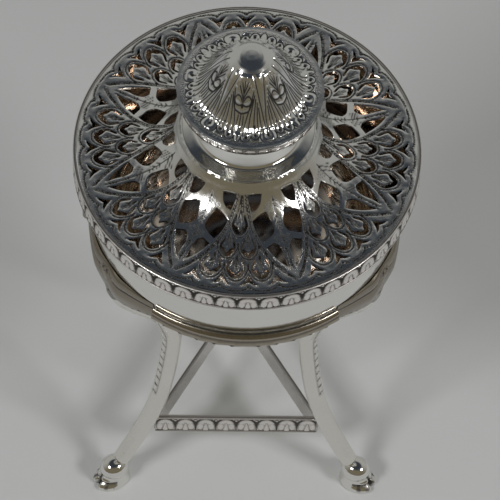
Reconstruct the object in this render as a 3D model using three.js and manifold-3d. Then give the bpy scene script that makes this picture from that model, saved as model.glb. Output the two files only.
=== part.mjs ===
// Potpourri jar in silver: a round bowl on three ram's-mask legs with cloven hooves,
// joined low down by a triangle of gallery strip, under a pierced pull-off cover
// with a plain neck and a chased cap.
// Millimetres, +Z up. The origin is on the table, at the middle of the three feet.

import * as THREE from 'three';
import { mergeVertices } from 'three/addons/utils/BufferGeometryUtils.js';
import Module from 'manifold-3d';

const wasm = await Module();
wasm.setup();

// Driving dimensions: whole object
const rimHeight = 152.9;          // top edge of the gallery strip round the bowl
const solderGap = 0.3;            // gap that each joined piece keeps to its seat
const slipGap = 0.3;              // play round the pull-off cover
const ringSteps = 40;             // facets round the large revolved pieces
const sectorSteps = 5;            // facets of the cover's edge in one of its sectors
const neckSteps = 24;             // facets round the neck

// Driving dimensions: bowl
const stripRadius = 50.0;         // outside of the gallery strip
const stripThickness = 0.6;
const stripHeight = 7.1;
const stripBorder = 0.7;          // raised plain border above and below the fans
const fanDepth = 0.35;            // relief of each fan on the strips
const fanSink = 0.25;             // how far a fan is let into its strip
const fanWidth = 5.5;
const fanHeight = 5.0;
const fanFootWidth = 2.2;
const fanCount = 50;              // fans round the bowl
const bowlWall = 1.2;
const bowlTaper = 4.0;            // how much narrower the wall is at its foot
const bowlBodyHeight = 30.0;      // straight part of the wall, from the rim down
const bowlRoundDepth = 24.0;      // rounded part below it
const bowlFlatRadius = 7.0;       // flat underneath, at the centre

// Driving dimensions: garland
const garlandDrop = 26.6;         // rim to the garland's upper edge
const garlandHeight = 6.2;        // in the middle of one length
const garlandDepth = 2.1;         // how far it stands off the wall there
const garlandThin = 0.55;         // share of its size that is left at its ends
const garlandLeaves = 11;         // pairs of leaves in one length
const garlandClearance = 0.5;     // between its end and the mask

// Driving dimensions: masks
const legCount = 3;
const firstLegAngle = 210;        // degrees, the front left leg
const maskHalfAngle = 24.5;       // half of the wall that one mask and its horns cover
const maskHeight = 15.6;
const maskCentreDrop = 33.6;      // rim to the middle of a mask
const faceWidth = 10.4;
const faceDepth = 3.5;
const faceInset = 1.5;            // its middle, inwards from the wall
const hornDepth = 2.6;            // how far the horns stand off the wall

// Driving dimensions: legs, as radius from the axis and height
const legTopGap = 1.1;            // mask to the top of the leg under it
const legTopInset = 2.6;          // middle of the leg's top, inwards from the foot of the wall
const kneeHeight = 66.0;          // where the leg comes closest to the axis
const kneeRadius = 23.7;
const ankleHeight = 9.7;
const ankleRadius = 40.7;
const legTopWidth = 7.4;
const kneeWidth = 5.8;
const shinWidth = 5.5;
const ankleWidth = 5.0;

// Driving dimensions: hooves
const hoofLength = 12.2;
const hoofWidth = 9.4;
const hoofHeight = 6.4;
const hoofTipRadius = 50.4;       // from the axis to the tips of the toes
const cleftWidth = 1.5;
const cleftLength = 5.6;
const fetlockRadius = 4.1;
const fetlockReach = 2.6;         // its centre, outwards from the end of the leg
const fetlockDrop = 3.2;          // its centre, down from the end of the leg

// Driving dimensions: stretcher
const barTop = 24.9;
const barHeight = 8.2;
const barThickness = 0.9;
const barCornerRadius = 29.3;     // from the axis to where two bars meet
const barBorder = 0.8;            // raised plain border above and below the fans
const barEndPlain = 0.8;          // plain stretch at each end of a bar
const barFans = 8;

// Driving dimensions: cover
const coverThickness = 0.8;
const coverFlange = 1.1;          // plain edge outside the scalloped border
const coverRise = 9.2;            // rim to the start of the neck's flare
const coverEdgeRise = 0.3;        // slope of the plain edge
const coverSweep = 4;             // power of the curve that lifts it, flat outside and steep inside
const neckFlareRadius = 20.9;     // where the flare to the neck begins
const neckFlareRise = 2.2;
const leafCount = 8;
const leafTurn = 17.7;            // degrees, direction of the first leaf
const leafBand = 1.0;             // engraved band along each leaf edge
const scalesPerSide = 3;          // scales in the outer row between two leaves
const pierceMargin = 0.5;         // plain metal between the flare and the openings
const scallopDepth = 2.4;         // rim of the piercing to the flange
const heartWidth = 5.8;
const heartHeight = 2.9;
const bezelDepth = 6.0;
const bezelWall = 0.8;

// Driving dimensions: neck and cap
const neckHeight = 18.7;
const neckWall = 0.9;
const neckFootRadius = 19.3;      // edge of the shelf at the foot of the neck
const neckFootLap = 1.3;          // how far the neck's foot lies on the cover
const neckEdge = 0.4;             // upright edge of the shelf
const neckShelfRise = 0.8;        // slope of the shelf up to the hollow
const neckHollow = 1.0;           // size of the hollow between shelf and cone
const neckConeRadius = 15.0;      // foot of the cone
const neckConeRise = 6.9;         // hollow to the end of the cone
const neckStemRadius = 13.0;      // narrowest, under the cap
const neckTopRadius = 14.2;
const capRadius = 21.0;
const capEdge = 0.8;              // thickness of the cap's flange
const capStripHeight = 2.5;
const capStripThickness = 0.7;
const capStripInset = 0.5;        // from the cap's edge to the strip
const capEggs = 36;
const capEggDepth = 0.25;
const capRise = 16.2;
const capShoulderRadius = 19.8;   // where the flange turns up into the dome
const capWall = 1.3;
const capPanels = 6;              // leaf panels between the ribs
const capRibTurn = 227;           // degrees, direction of the first rib
const capRelief = 0.7;            // height of the ribs above the dome

const DEG = Math.PI / 180;
const UP = new THREE.Vector3(0, 0, 1);

// Values that follow from the driving dimensions
const bowlOuter = stripRadius - stripThickness - solderGap;
const coverOuter = stripRadius - stripThickness - slipGap;
const bowlRim = rimHeight - coverThickness - slipGap;
const stripBottom = rimHeight - stripHeight;
const bowlShoulder = rimHeight - bowlBodyHeight;
const garlandTop = rimHeight - garlandDrop;
const maskMiddle = rimHeight - maskCentreDrop;
const legTop = maskMiddle - 0.5 * maskHeight - legTopGap;
const legTopRadius = bowlOuter - bowlTaper - legTopInset;
const neckBottom = rimHeight + coverRise + neckFlareRise + solderGap;
const neckTop = neckBottom + neckHeight;
const capUnderside = neckTop + solderGap;
const capRimHeight = capUnderside + capEdge;

// Radius of the bowl's outside at a height on its straight wall
function wallRadius(z) {
  const share = Math.min(1, (bowlRim - z) / (bowlRim - bowlShoulder));
  return bowlOuter - bowlTaper * share;
}

// Closed solid from a geometry, so that it can be cut and joined
function toSolid(geometry) {
  const bare = new THREE.BufferGeometry();
  bare.setAttribute('position', geometry.getAttribute('position').clone());
  if (geometry.getIndex()) {
    bare.setIndex(geometry.getIndex().clone());
  }
  const merged = mergeVertices(bare, 1e-4);
  const index = merged.getIndex().array;
  const corners = [];
  for (let i = 0; i < index.length; i += 3) {
    const [a, b, c] = [index[i], index[i + 1], index[i + 2]];
    if (a !== b && b !== c && c !== a) {
      corners.push(a, b, c);
    }
  }
  return new wasm.Manifold(new wasm.Mesh({
    numProp: 3,
    vertProperties: new Float32Array(merged.getAttribute('position').array),
    triVerts: new Uint32Array(corners),
  }));
}

// Geometry from a solid
function toGeometry(solid) {
  const mesh = solid.getMesh();
  const geometry = new THREE.BufferGeometry();
  geometry.setAttribute('position', new THREE.BufferAttribute(mesh.vertProperties, 3));
  geometry.setIndex(new THREE.BufferAttribute(mesh.triVerts, 1));
  geometry.computeVertexNormals();
  return geometry;
}

// Ring or disc revolved about +Z from points of radius and height, counter-clockwise
// as seen with the axis on the left
function revolve(points, steps = ringSteps) {
  const profile = points.map(([r, z]) => new THREE.Vector2(r, z));
  const geometry = new THREE.LatheGeometry(profile, steps);
  geometry.rotateX(Math.PI / 2);
  return geometry;
}

// Solid skinned over rings of points, each ring counter-clockwise seen from its far end
function skin(rings) {
  const count = rings[0].length;
  const positions = [];
  const index = [];
  for (const ring of rings) {
    for (const p of ring) {
      positions.push(p.x, p.y, p.z);
    }
  }
  for (let i = 0; i + 1 < rings.length; i += 1) {
    for (let j = 0; j < count; j += 1) {
      const k = (j + 1) % count;
      const [a, b] = [i * count + j, i * count + k];
      const [c, d] = [a + count, b + count];
      index.push(a, b, d, a, d, c);
    }
  }
  for (const [i, flip] of [[0, true], [rings.length - 1, false]]) {
    const centre = new THREE.Vector3();
    for (const p of rings[i]) {
      centre.addScaledVector(p, 1 / count);
    }
    const hub = positions.length / 3;
    positions.push(centre.x, centre.y, centre.z);
    for (let j = 0; j < count; j += 1) {
      const a = i * count + j;
      const b = i * count + ((j + 1) % count);
      if (flip) {
        index.push(hub, b, a);
      } else {
        index.push(hub, a, b);
      }
    }
  }
  const geometry = new THREE.BufferGeometry();
  geometry.setAttribute('position', new THREE.Float32BufferAttribute(positions, 3));
  geometry.setIndex(index);
  return geometry;
}

// Flat shape given by points of the XY plane, raised from one height to another
function prism(points, bottom, top) {
  const shape = new THREE.Shape(points.map(([x, y]) => new THREE.Vector2(x, y)));
  const geometry = new THREE.ExtrudeGeometry(shape, {
    depth: top - bottom,
    bevelEnabled: false,
  });
  geometry.translate(0, 0, bottom);
  return geometry;
}

// Point of the plan at an angle in degrees and a radius
function polar(angle, radius) {
  return [radius * Math.cos(angle * DEG), radius * Math.sin(angle * DEG)];
}

// The same plan outline, counter-clockwise
function counterClockwise(points) {
  const clockwise = THREE.ShapeUtils.isClockWise(points.map(([x, y]) => new THREE.Vector2(x, y)));
  return clockwise ? [...points].reverse() : points;
}

// Outline of one fan of the gallery strip: a rounded shell on a narrow foot,
// as points across and up, from the middle of its lower edge
function fanOutline() {
  const points = [];
  const steps = 4;
  const crown = 0.46 * fanHeight;
  for (let i = 0; i <= steps; i += 1) {
    const angle = (-20 + 220 * i / steps) * DEG;
    const across = 0.5 * fanWidth * Math.cos(angle);
    points.push(new THREE.Vector2(across, fanHeight - crown + crown * Math.sin(angle)));
  }
  const foot = 0.5 * fanFootWidth;
  return new THREE.Shape([...points, new THREE.Vector2(-foot, 0), new THREE.Vector2(foot, 0)]);
}

// One fan in relief, standing on the XZ plane and facing -Y, sunk a little into its strip
function fanRelief() {
  const geometry = new THREE.ExtrudeGeometry(fanOutline(), {
    depth: fanDepth + fanSink,
    bevelEnabled: false,
  });
  geometry.rotateX(Math.PI / 2);
  geometry.translate(0, fanSink, 0);
  return geometry;
}

// Gallery strip round the bowl: a plain hoop with a row of fans in relief
function bowlGalleryStrip() {
  const inner = stripRadius - stripThickness;
  const outer = stripRadius + fanDepth;
  const hoop = toSolid(revolve([
    [inner, stripBottom],
    [outer, stripBottom],
    [outer, stripBottom + stripBorder],
    [stripRadius, stripBottom + stripBorder],
    [stripRadius, rimHeight - stripBorder],
    [outer, rimHeight - stripBorder],
    [outer, rimHeight],
    [inner, rimHeight],
    [inner, stripBottom],
  ], fanCount));
  const fans = [];
  for (let i = 0; i < fanCount; i += 1) {
    const fan = fanRelief();
    fan.translate(0, -stripRadius, stripBottom + 0.5 * (stripHeight - fanHeight));
    fan.rotateZ((i + 0.5) * 2 * Math.PI / fanCount);
    fans.push(toSolid(fan));
  }
  return toGeometry(hoop.add(wasm.Manifold.union(fans)));
}

// Profile of the bowl from its bottom to its rim, moved inwards or outwards by an offset
function bowlLine(offset) {
  const arcSteps = 5;
  const line = [[0, bowlShoulder - bowlRoundDepth - offset]];
  const wide = wallRadius(bowlShoulder) - bowlFlatRadius;
  for (let i = 0; i <= arcSteps; i += 1) {
    const angle = (90 * i / arcSteps) * DEG;
    line.push([
      bowlFlatRadius + (wide + offset) * Math.sin(angle),
      bowlShoulder - (bowlRoundDepth + offset) * Math.cos(angle),
    ]);
  }
  line.push([bowlOuter + offset, bowlRim]);
  return line;
}

// Bowl: slightly tapered wall over a rounded bottom, with a flat underneath
function bowl() {
  return revolve([...bowlLine(0), ...bowlLine(-bowlWall).reverse()]);
}

// Solid that fills the bowl and reaches its seat gap outside it, to fit pieces to its wall
function bowlSeat() {
  return toSolid(revolve([...bowlLine(solderGap), [0, bowlRim]]));
}

// Section of the garland, as shares of its half height and of its depth
const garlandSection = [[1, 0], [0.86, 0.75], [0.3, 1], [-0.4, 0.95], [-0.9, 0.6], [-1, 0]];

// One length of laurel garland between two masks, bent to the wall and thinner towards
// its ends, with its upper edge level and its leaf pairs in relief
function garland(startAngle, endAngle) {
  const steps = garlandLeaves * 2;
  const back = wallRadius(garlandTop) + solderGap;
  const rings = [];
  for (let i = 0; i <= steps; i += 1) {
    const angle = startAngle + (endAngle - startAngle) * i / steps;
    const full = garlandThin + (1 - garlandThin) * Math.sin(Math.PI * i / steps);
    const waist = i % 2 === 0;
    const depth = garlandDepth * full * (waist ? 0.7 : 1);
    const half = 0.5 * garlandHeight * full * (waist ? 0.92 : 1);
    const middle = garlandTop - 0.5 * garlandHeight * full;
    rings.push(garlandSection.map(([across, out]) => {
      const [x, y] = polar(angle, back + out * depth);
      return new THREE.Vector3(x, y, middle + across * half);
    }));
  }
  return skin(rings);
}

// Section of a horn, as shares of its half height and of its depth: a rolled upper fold
// over a broad swelling that leans in towards its lower edge
const hornSection = [
  [1, 0],
  [0.86, 0.62],
  [0.56, 0.8],
  [0.42, 0.6],
  [0.1, 1],
  [-0.35, 0.75],
  [-0.72, 0.3],
  [-1, -0.5],
];

// Horns from one end to the other: angle as a share of maskHalfAngle, half height as a
// share of maskHeight, depth as a share of hornDepth, and lift as a share of maskHeight
const hornStations = [
  [0, 0.50, 0.45, 0],
  [0.28, 0.47, 0.92, 0],
  [0.5, 0.38, 1, 0.07],
  [0.72, 0.26, 0.86, 0.17],
  [1, 0.12, 0.52, 0.31],
];

// The two horns of a mask as one form that follows the wall to both sides of the brow
function ramHorns() {
  const seat = wallRadius(garlandTop) + solderGap;
  const behind = faceWidth / 2;
  const mirrored = hornStations.slice(1).reverse().map(([turn, ...rest]) => [-turn, ...rest]);
  const rings = [...mirrored, ...hornStations].map(([turn, half, deep, lift]) => {
    const middle = maskMiddle + lift * maskHeight;
    const at = (across, radius) => {
      const [x, y] = polar(turn * maskHalfAngle, radius);
      return new THREE.Vector3(x, y, middle + across * half * maskHeight);
    };
    const ring = hornSection.map(([across, out]) => at(across, seat + out * deep * hornDepth));
    return [...ring, at(-1, seat - behind), at(1, seat - behind)];
  });
  return toSolid(skin(rings));
}

// Outline of a ram's face: height from its middle as a share of maskHeight, then half
// width and depth as shares of the face's largest
const faceLevels = [
  [-0.50, 0.44, 0.23],
  [-0.42, 0.60, 0.56],
  [-0.27, 0.60, 0.74],
  [-0.10, 0.68, 0.76],
  [0.06, 0.92, 0.90],
  [0.25, 1, 1],
  [0.42, 0.80, 0.76],
  [0.50, 0.40, 0.34],
];

// Ram's mask, modelled facing +X with its back on the wall
function ramMask() {
  const middle = wallRadius(garlandTop) + solderGap - faceInset;
  const sides = 10;
  const rings = faceLevels.map(([up, wide, deep]) => {
    const ring = [];
    for (let j = 0; j < sides; j += 1) {
      const angle = (j / sides) * 2 * Math.PI;
      const x = faceDepth * deep * Math.cos(angle);
      const y = 0.5 * faceWidth * wide * Math.sin(angle);
      ring.push(new THREE.Vector3(middle + x, y, maskMiddle + up * maskHeight));
    }
    return ring;
  });
  return toSolid(skin(rings)).add(ramHorns()).subtract(bowlSeat());
}

// Bends of a leg: above the knee as shares of the way down and in to it, below the knee
// as shares of the way down and out to the ankle
const thighBends = [[0, 0], [0.14, 0.12], [0.35, 0.44], [0.56, 0.77], [0.77, 0.94], [1, 1]];
const shinBends = [[0.47, 0.20], [0.75, 0.53], [1, 1]];

// Centre line of a leg in the plane of +X
function legLine() {
  const thigh = thighBends.map(([down, inward]) => new THREE.Vector3(
    legTopRadius + (kneeRadius - legTopRadius) * inward,
    0,
    legTop + (kneeHeight - legTop) * down,
  ));
  const shin = shinBends.map(([down, outward]) => new THREE.Vector3(
    kneeRadius + (ankleRadius - kneeRadius) * outward,
    0,
    kneeHeight + (ankleHeight - kneeHeight) * down,
  ));
  return new THREE.CatmullRomCurve3([...thigh, ...shin], false, 'centripetal');
}

// Leg width at a share of its length from the top
function legWidth(share) {
  const stations = [[0, legTopWidth], [0.45, kneeWidth], [0.72, shinWidth], [1, ankleWidth]];
  for (let i = 0; i + 1 < stations.length; i += 1) {
    const [a, wa] = stations[i];
    const [b, wb] = stations[i + 1];
    if (share <= b) {
      const t = (share - a) / (b - a);
      return wa + (wb - wa) * t * t * (3 - 2 * t);
    }
  }
  return ankleWidth;
}

// Leg in the plane of +X: an oval section, wider across than deep, swept down its line
function leg() {
  const line = legLine();
  const steps = 16;
  const sides = 8;
  const rings = [];
  for (let i = 0; i <= steps; i += 1) {
    const share = i / steps;
    const centre = line.getPointAt(share);
    const along = line.getTangentAt(share);
    const across = new THREE.Vector3(0, 1, 0);
    const out = new THREE.Vector3().crossVectors(across, along).normalize();
    const width = legWidth(share);
    const ring = [];
    for (let j = 0; j < sides; j += 1) {
      const angle = (j / sides) * 2 * Math.PI;
      ring.push(centre.clone()
        .addScaledVector(out, 0.46 * width * Math.cos(angle))
        .addScaledVector(across, 0.5 * width * Math.sin(angle)));
    }
    rings.push(ring);
  }
  return toSolid(skin(rings)).subtract(bowlSeat());
}

// Outline of a hoof: height as a share of hoofHeight, size as a share of its ground plan,
// and how far its middle lies back towards the leg as a share of hoofLength
const hoofLevels = [[0, 1, 0], [0.18, 1, 0], [0.55, 0.86, 0.05], [0.85, 0.66, 0.10], [1, 0.45, 0.15]];

// Hoof in the plane of +X: rounded fetlock above two toes with a cleft between them
function hoof() {
  const middle = hoofTipRadius - 0.5 * hoofLength;
  const sides = 12;
  const rings = [];
  for (const [up, grow, back] of hoofLevels) {
    const ring = [];
    for (let j = 0; j < sides; j += 1) {
      const angle = (j / sides) * 2 * Math.PI;
      const x = middle - hoofLength * back + 0.5 * hoofLength * grow * Math.cos(angle);
      const y = 0.5 * hoofWidth * grow * Math.sin(angle);
      ring.push(new THREE.Vector3(x, y, up * hoofHeight));
    }
    rings.push(ring);
  }
  const toes = toSolid(skin(rings));
  const cleft = toSolid(prism([
    [hoofTipRadius - cleftLength, 0],
    [hoofTipRadius + 1, -cleftWidth],
    [hoofTipRadius + 1, cleftWidth],
  ], -1, hoofHeight * 0.8));
  const ball = new THREE.SphereGeometry(fetlockRadius, 10, 7);
  ball.scale(1.12, 1, 0.95);
  ball.translate(ankleRadius + fetlockReach, 0, ankleHeight - fetlockDrop);
  const line = legLine();
  const end = line.getPointAt(1);
  const along = line.getTangentAt(1);
  // Everything past the end of the leg is cut from the fetlock
  const size = 2 * hoofLength;
  const shield = new THREE.BoxGeometry(size, size, size);
  shield.translate(0, 0, 0.5 * size);
  shield.applyQuaternion(new THREE.Quaternion().setFromUnitVectors(UP, along.clone().negate()));
  const seat = end.clone().addScaledVector(along, solderGap);
  shield.translate(seat.x, seat.y, seat.z);
  return toSolid(ball).subtract(toSolid(shield)).add(toes.subtract(cleft));
}

// One bar of the stretcher along X at the front: a strip of fans between plain borders
function stretcherBar() {
  const cornerAngle = Math.PI / legCount;
  const length = 2 * barCornerRadius * Math.sin(cornerAngle);
  const bottom = barTop - barHeight;
  const front = -barCornerRadius * Math.cos(cornerAngle);
  const half = 0.5 * length - solderGap;
  const mitre = barThickness * Math.tan(cornerAngle);
  let bar = toSolid(prism([
    [-half, front],
    [half, front],
    [half - mitre, front + barThickness],
    [-half + mitre, front + barThickness],
  ], bottom, barTop));
  const reliefs = [];
  const borderLength = length - 2 * barEndPlain;
  for (const low of [bottom, barTop - barBorder]) {
    const border = new THREE.BoxGeometry(borderLength, fanDepth + fanSink, barBorder);
    border.translate(0, front + 0.5 * (fanSink - fanDepth), low + 0.5 * barBorder);
    reliefs.push(toSolid(border));
  }
  const pitch = borderLength / barFans;
  for (let i = 0; i < barFans; i += 1) {
    const fan = fanRelief();
    fan.translate((i + 0.5 - barFans / 2) * pitch, front, bottom + 0.5 * (barHeight - fanHeight));
    reliefs.push(toSolid(fan));
  }
  bar = bar.add(wasm.Manifold.union(reliefs));
  return toGeometry(bar);
}

// Height of the cover's upper side above the rim at a radius: almost flat outside, then
// a hollow curve up to the neck
function coverHeight(r) {
  const foot = coverOuter - coverFlange;
  if (r >= foot) {
    return coverEdgeRise * (coverOuter - r) / coverFlange;
  }
  if (r >= neckFlareRadius) {
    const share = (foot - r) / (foot - neckFlareRadius);
    return coverEdgeRise + (coverRise - coverEdgeRise) * Math.pow(share, coverSweep);
  }
  const share = Math.min(1, (neckFlareRadius - r) / (neckFlareRadius - neckFootRadius));
  return coverRise + neckFlareRise * (0.6 * share + 0.4 * share * share);
}

const cuspRadius = coverOuter - scallopDepth;
const pierceInner = neckFlareRadius + pierceMargin;
const sector = 180 / leafCount;   // half the angle from one leaf to the next

// Radius at a share of the pierced ring, 0 at the neck and 1 at the scallops
function ringRadius(share) {
  return pierceInner + share * (cuspRadius - pierceInner);
}

// Half angle of a leaf, in degrees, at a share of the pierced ring
function leafHalfAngle(share) {
  return 0.89 * sector * Math.pow(Math.max(0, 1 - share), 0.8);
}

// The same, inside the engraved band
function leafInnerAngle(share) {
  return leafHalfAngle(share) - leafBand / ringRadius(share) / DEG;
}

// Sprig inside a leaf, three leaflets on one stem: share of the ring and half width there
// as a share of a sector's half angle
const sprigStations = [
  [0, 0.50],
  [0.09, 0.55],
  [0.19, 0.30],
  [0.31, 0.11],
  [0.57, 0.15],
  [0.66, 0.09],
  [0.73, 0.13],
  [0.84, 0.09],
];

// Half angle of the sprig at a share of the pierced ring
function sprigHalfAngle(share) {
  for (let i = 0; i + 1 < sprigStations.length; i += 1) {
    const [a, wa] = sprigStations[i];
    const [b, wb] = sprigStations[i + 1];
    if (share <= b) {
      return sector * (wa + (wb - wa) * (share - a) / (b - a));
    }
  }
  return sector * sprigStations.at(-1)[1];
}

// The three openings on one side of a sprig, as shares of the ring: along the band
// from and to, then along the sprig back from and to
const leafOpenings = [
  [0.82, 0.53, 0.50, 0.81],
  [0.46, 0.21, 0.18, 0.31],
  [0.14, 0.01, 0.01, 0.07],
];

// Plan of one opening between a sprig and the band on its side of a leaf
function leafOpening(axis, side, [bandOut, bandIn, sprigIn, sprigOut]) {
  const steps = 2;
  const points = [];
  for (let i = 0; i <= steps; i += 1) {
    const share = bandOut + (bandIn - bandOut) * i / steps;
    points.push(polar(axis + side * leafInnerAngle(share), ringRadius(share)));
  }
  for (let i = 0; i <= steps; i += 1) {
    const share = sprigIn + (sprigOut - sprigIn) * i / steps;
    points.push(polar(axis + side * sprigHalfAngle(share), ringRadius(share)));
  }
  return points;
}

// Plan of a heart-shaped opening under the cusp between two scallops
function heartOpening(axis) {
  const top = cuspRadius + 0.3;
  const wide = (heartWidth / 2) / top / DEG;
  return [
    polar(axis, top - heartHeight),
    polar(axis + wide, top),
    polar(axis + 0.5 * wide, top - 0.05 * heartHeight),
    polar(axis, top - 0.42 * heartHeight),
    polar(axis - 0.5 * wide, top - 0.05 * heartHeight),
    polar(axis - wide, top),
  ];
}

// Rows of scales between two leaves: number, outer and inner end as shares of the ring,
// and half width of each opening in millimetres
const scaleRows = [
  [scalesPerSide, 0.925, 0.650, 2.7],
  [scalesPerSide - 1, 0.600, 0.400, 2.4],
  [scalesPerSide - 2, 0.360, 0.160, 2.1],
];

// Half of a scale's opening and half of the fleuron in it, across and up
const scaleArch = [[0.42, 0], [0.98, 0.5], [0, 1]];
const scaleFleuron = [[0, 0.72], [0.56, 0.42], [0.24, 0.08]];

// Plan of the horseshoe opening in one scale, round a fleuron that stands on its foot
function scaleOpening(axis, outer, inner, halfWidth) {
  const low = ringRadius(inner);
  const tall = ringRadius(outer) - low;
  const wide = halfWidth / (low + 0.5 * tall) / DEG;
  const at = ([across, up]) => polar(axis + across * wide, low + up * tall);
  const mirrored = ([across, up]) => at([-across, up]);
  return [
    ...scaleArch.map(at),
    ...scaleArch.slice(0, -1).reverse().map(mirrored),
    ...scaleFleuron.slice(1).reverse().map(mirrored),
    ...scaleFleuron.map(at),
  ];
}

// Plan outlines of all openings between one leaf's middle line and the next leaf's
function sectorPiercings(axis) {
  const outlines = [];
  for (const opening of leafOpenings) {
    outlines.push(leafOpening(axis, 1, opening));
    outlines.push(leafOpening(axis + 2 * sector, -1, opening));
  }
  const hearts = scalesPerSide + 1;
  const spread = 1.74 * sector / hearts;
  for (const [count, outer, inner, halfWidth] of scaleRows) {
    for (let i = 0; i < count; i += 1) {
      const middle = axis + sector + (i - (count - 1) / 2) * spread;
      outlines.push(scaleOpening(middle, outer, inner, halfWidth));
    }
  }
  for (let i = 0; i < hearts; i += 1) {
    outlines.push(heartOpening(axis + sector + (i - (hearts - 1) / 2) * spread));
  }
  return outlines.map(counterClockwise);
}

// Triangles over a plan outline with holes, as corner numbers, counter-clockwise. The
// diagonal of two neighbours is swapped where one reaches into the other's circle, so
// that no long sliver crosses the dome
function planTriangles(outline, holes) {
  const toVectors = (points) => points.map(([x, y]) => new THREE.Vector2(x, y));
  const corners = toVectors([...outline, ...holes.flat()]);
  const triangles = THREE.ShapeUtils.triangulateShape(toVectors(outline), holes.map(toVectors));
  for (const triangle of triangles) {
    if (THREE.ShapeUtils.area(triangle.map((i) => corners[i])) < 0) {
      triangle.reverse();
    }
  }
  const reaches = (a, b, c, d) => {
    const rows = [a, b, c].map((i) => corners[i].clone().sub(corners[d]));
    const values = rows.flatMap((v) => [v.x, v.y, v.lengthSq()]);
    return new THREE.Matrix3().set(...values).determinant() > 1e-6;
  };
  const swapOne = () => {
    const owners = new Map();
    triangles.forEach(([a, b, c], i) => {
      owners.set(`${a},${b}`, i).set(`${b},${c}`, i).set(`${c},${a}`, i);
    });
    for (const [i, triangle] of triangles.entries()) {
      for (let k = 0; k < 3; k += 1) {
        const [a, b, c] = [triangle[k], triangle[(k + 1) % 3], triangle[(k + 2) % 3]];
        const j = owners.get(`${b},${a}`);
        const d = j === undefined ? undefined : triangles[j].find((v) => v !== a && v !== b);
        if (d !== undefined && reaches(a, b, c, d)) {
          triangles[i] = [c, a, d];
          triangles[j] = [d, b, c];
          return true;
        }
      }
    }
    return false;
  };
  let swapped = true;
  while (swapped) {
    swapped = swapOne();
  }
  return triangles;
}

// Pierced cover: a thin dome with a flat edge and a flare to the neck, laid out in plan
// one sector at a time and then lifted to its height
function piercedCover() {
  const positions = [];
  const index = [];
  const corner = ([x, y], under) => {
    const z = rimHeight + coverHeight(Math.hypot(x, y)) - (under ? coverThickness : 0);
    positions.push(x, y, z);
    return positions.length / 3 - 1;
  };
  const face = (a, b, c) => {
    index.push(corner(a, false), corner(b, false), corner(c, false));
    index.push(corner(a, true), corner(c, true), corner(b, true));
  };
  const wall = (a, b) => {
    index.push(corner(b, false), corner(b, true), corner(a, true));
    index.push(corner(b, false), corner(a, true), corner(a, false));
  };
  const arc = (axis, radius) => {
    const points = [];
    for (let i = 0; i <= sectorSteps; i += 1) {
      points.push(polar(axis + i * 2 * sector / sectorSteps, radius));
    }
    return points;
  };
  const flange = coverOuter - coverFlange;
  const inside = neckFootRadius - neckFootLap;
  // The seam of two sectors weaves a little, so that no three of its points are in line
  const weave = 0.4;
  const seam = (axis) => [1, 2, 3].map((i) => (
    polar(axis + (i % 2 ? weave : -weave), neckFlareRadius + 0.25 * i * (flange - neckFlareRadius))
  ));
  const plain = [
    [coverOuter, flange],
    [neckFlareRadius, 0.5 * (neckFlareRadius + neckFootRadius)],
    [0.5 * (neckFlareRadius + neckFootRadius), neckFootRadius],
    [neckFootRadius, inside],
  ];
  for (let i = 0; i < leafCount; i += 1) {
    const axis = leafTurn + i * 2 * sector;
    for (const [outer, inner] of plain) {
      const [far, near] = [arc(axis, outer), arc(axis, inner)];
      for (let j = 0; j < sectorSteps; j += 1) {
        face(far[j], far[j + 1], near[j + 1]);
        face(far[j], near[j + 1], near[j]);
      }
    }
    const rim = arc(axis, coverOuter);
    const hole = arc(axis, inside);
    for (let j = 0; j < sectorSteps; j += 1) {
      wall(rim[j + 1], rim[j]);
      wall(hole[j], hole[j + 1]);
    }
    const outline = arc(axis, flange);
    outline.push(...seam(axis + 2 * sector).reverse());
    outline.push(...arc(axis, neckFlareRadius).reverse());
    outline.push(...seam(axis));
    const openings = sectorPiercings(axis);
    const corners = [...outline, ...openings.flat()];
    for (const [a, b, c] of planTriangles(outline, openings)) {
      face(corners[a], corners[b], corners[c]);
    }
    for (const opening of openings) {
      for (let j = 0; j < opening.length; j += 1) {
        wall(opening[j], opening[(j + 1) % opening.length]);
      }
    }
  }
  const geometry = new THREE.BufferGeometry();
  geometry.setAttribute('position', new THREE.Float32BufferAttribute(positions, 3));
  geometry.setIndex(index);
  return mergeVertices(geometry, 1e-3);
}

// Bezel: the plain hoop under the cover that drops inside the bowl
function coverBezel() {
  const top = rimHeight - coverThickness - solderGap;
  const outer = wallRadius(top - bezelDepth) - bowlWall - slipGap;
  const inner = outer - bezelWall;
  return revolve([
    [inner, top - bezelDepth],
    [outer, top - bezelDepth],
    [outer, top],
    [inner, top],
    [inner, top - bezelDepth],
  ]);
}

// Neck: a hollow stem that spreads in a cone to a sloping shelf, open at both ends
function neckCollar() {
  const edgeTop = neckBottom + neckEdge;
  const shelfTop = edgeTop + neckShelfRise;
  const outside = [
    [neckFootRadius, neckBottom],
    [neckFootRadius, edgeTop - 0.5 * neckEdge],
    [neckFootRadius - neckEdge, edgeTop],
    [neckConeRadius + neckHollow, shelfTop],
    [neckConeRadius + 0.3 * neckHollow, shelfTop + 0.4 * neckHollow],
    [neckConeRadius, shelfTop + 0.9 * neckHollow],
    [0.6 * neckStemRadius + 0.4 * neckConeRadius, shelfTop + 0.55 * neckConeRise],
    [neckStemRadius, shelfTop + neckConeRise],
    [neckStemRadius, neckTop - 0.3 * neckHeight],
    [neckTopRadius, neckTop],
  ];
  const within = outside.slice(5).map(([r, z]) => [r - neckWall, z]);
  return revolve([
    [neckFootRadius - neckFootLap, neckBottom],
    ...outside,
    ...within.reverse(),
    [neckConeRadius, edgeTop],
    [neckFootRadius - neckFootLap, neckBottom],
  ], neckSteps);
}

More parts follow.
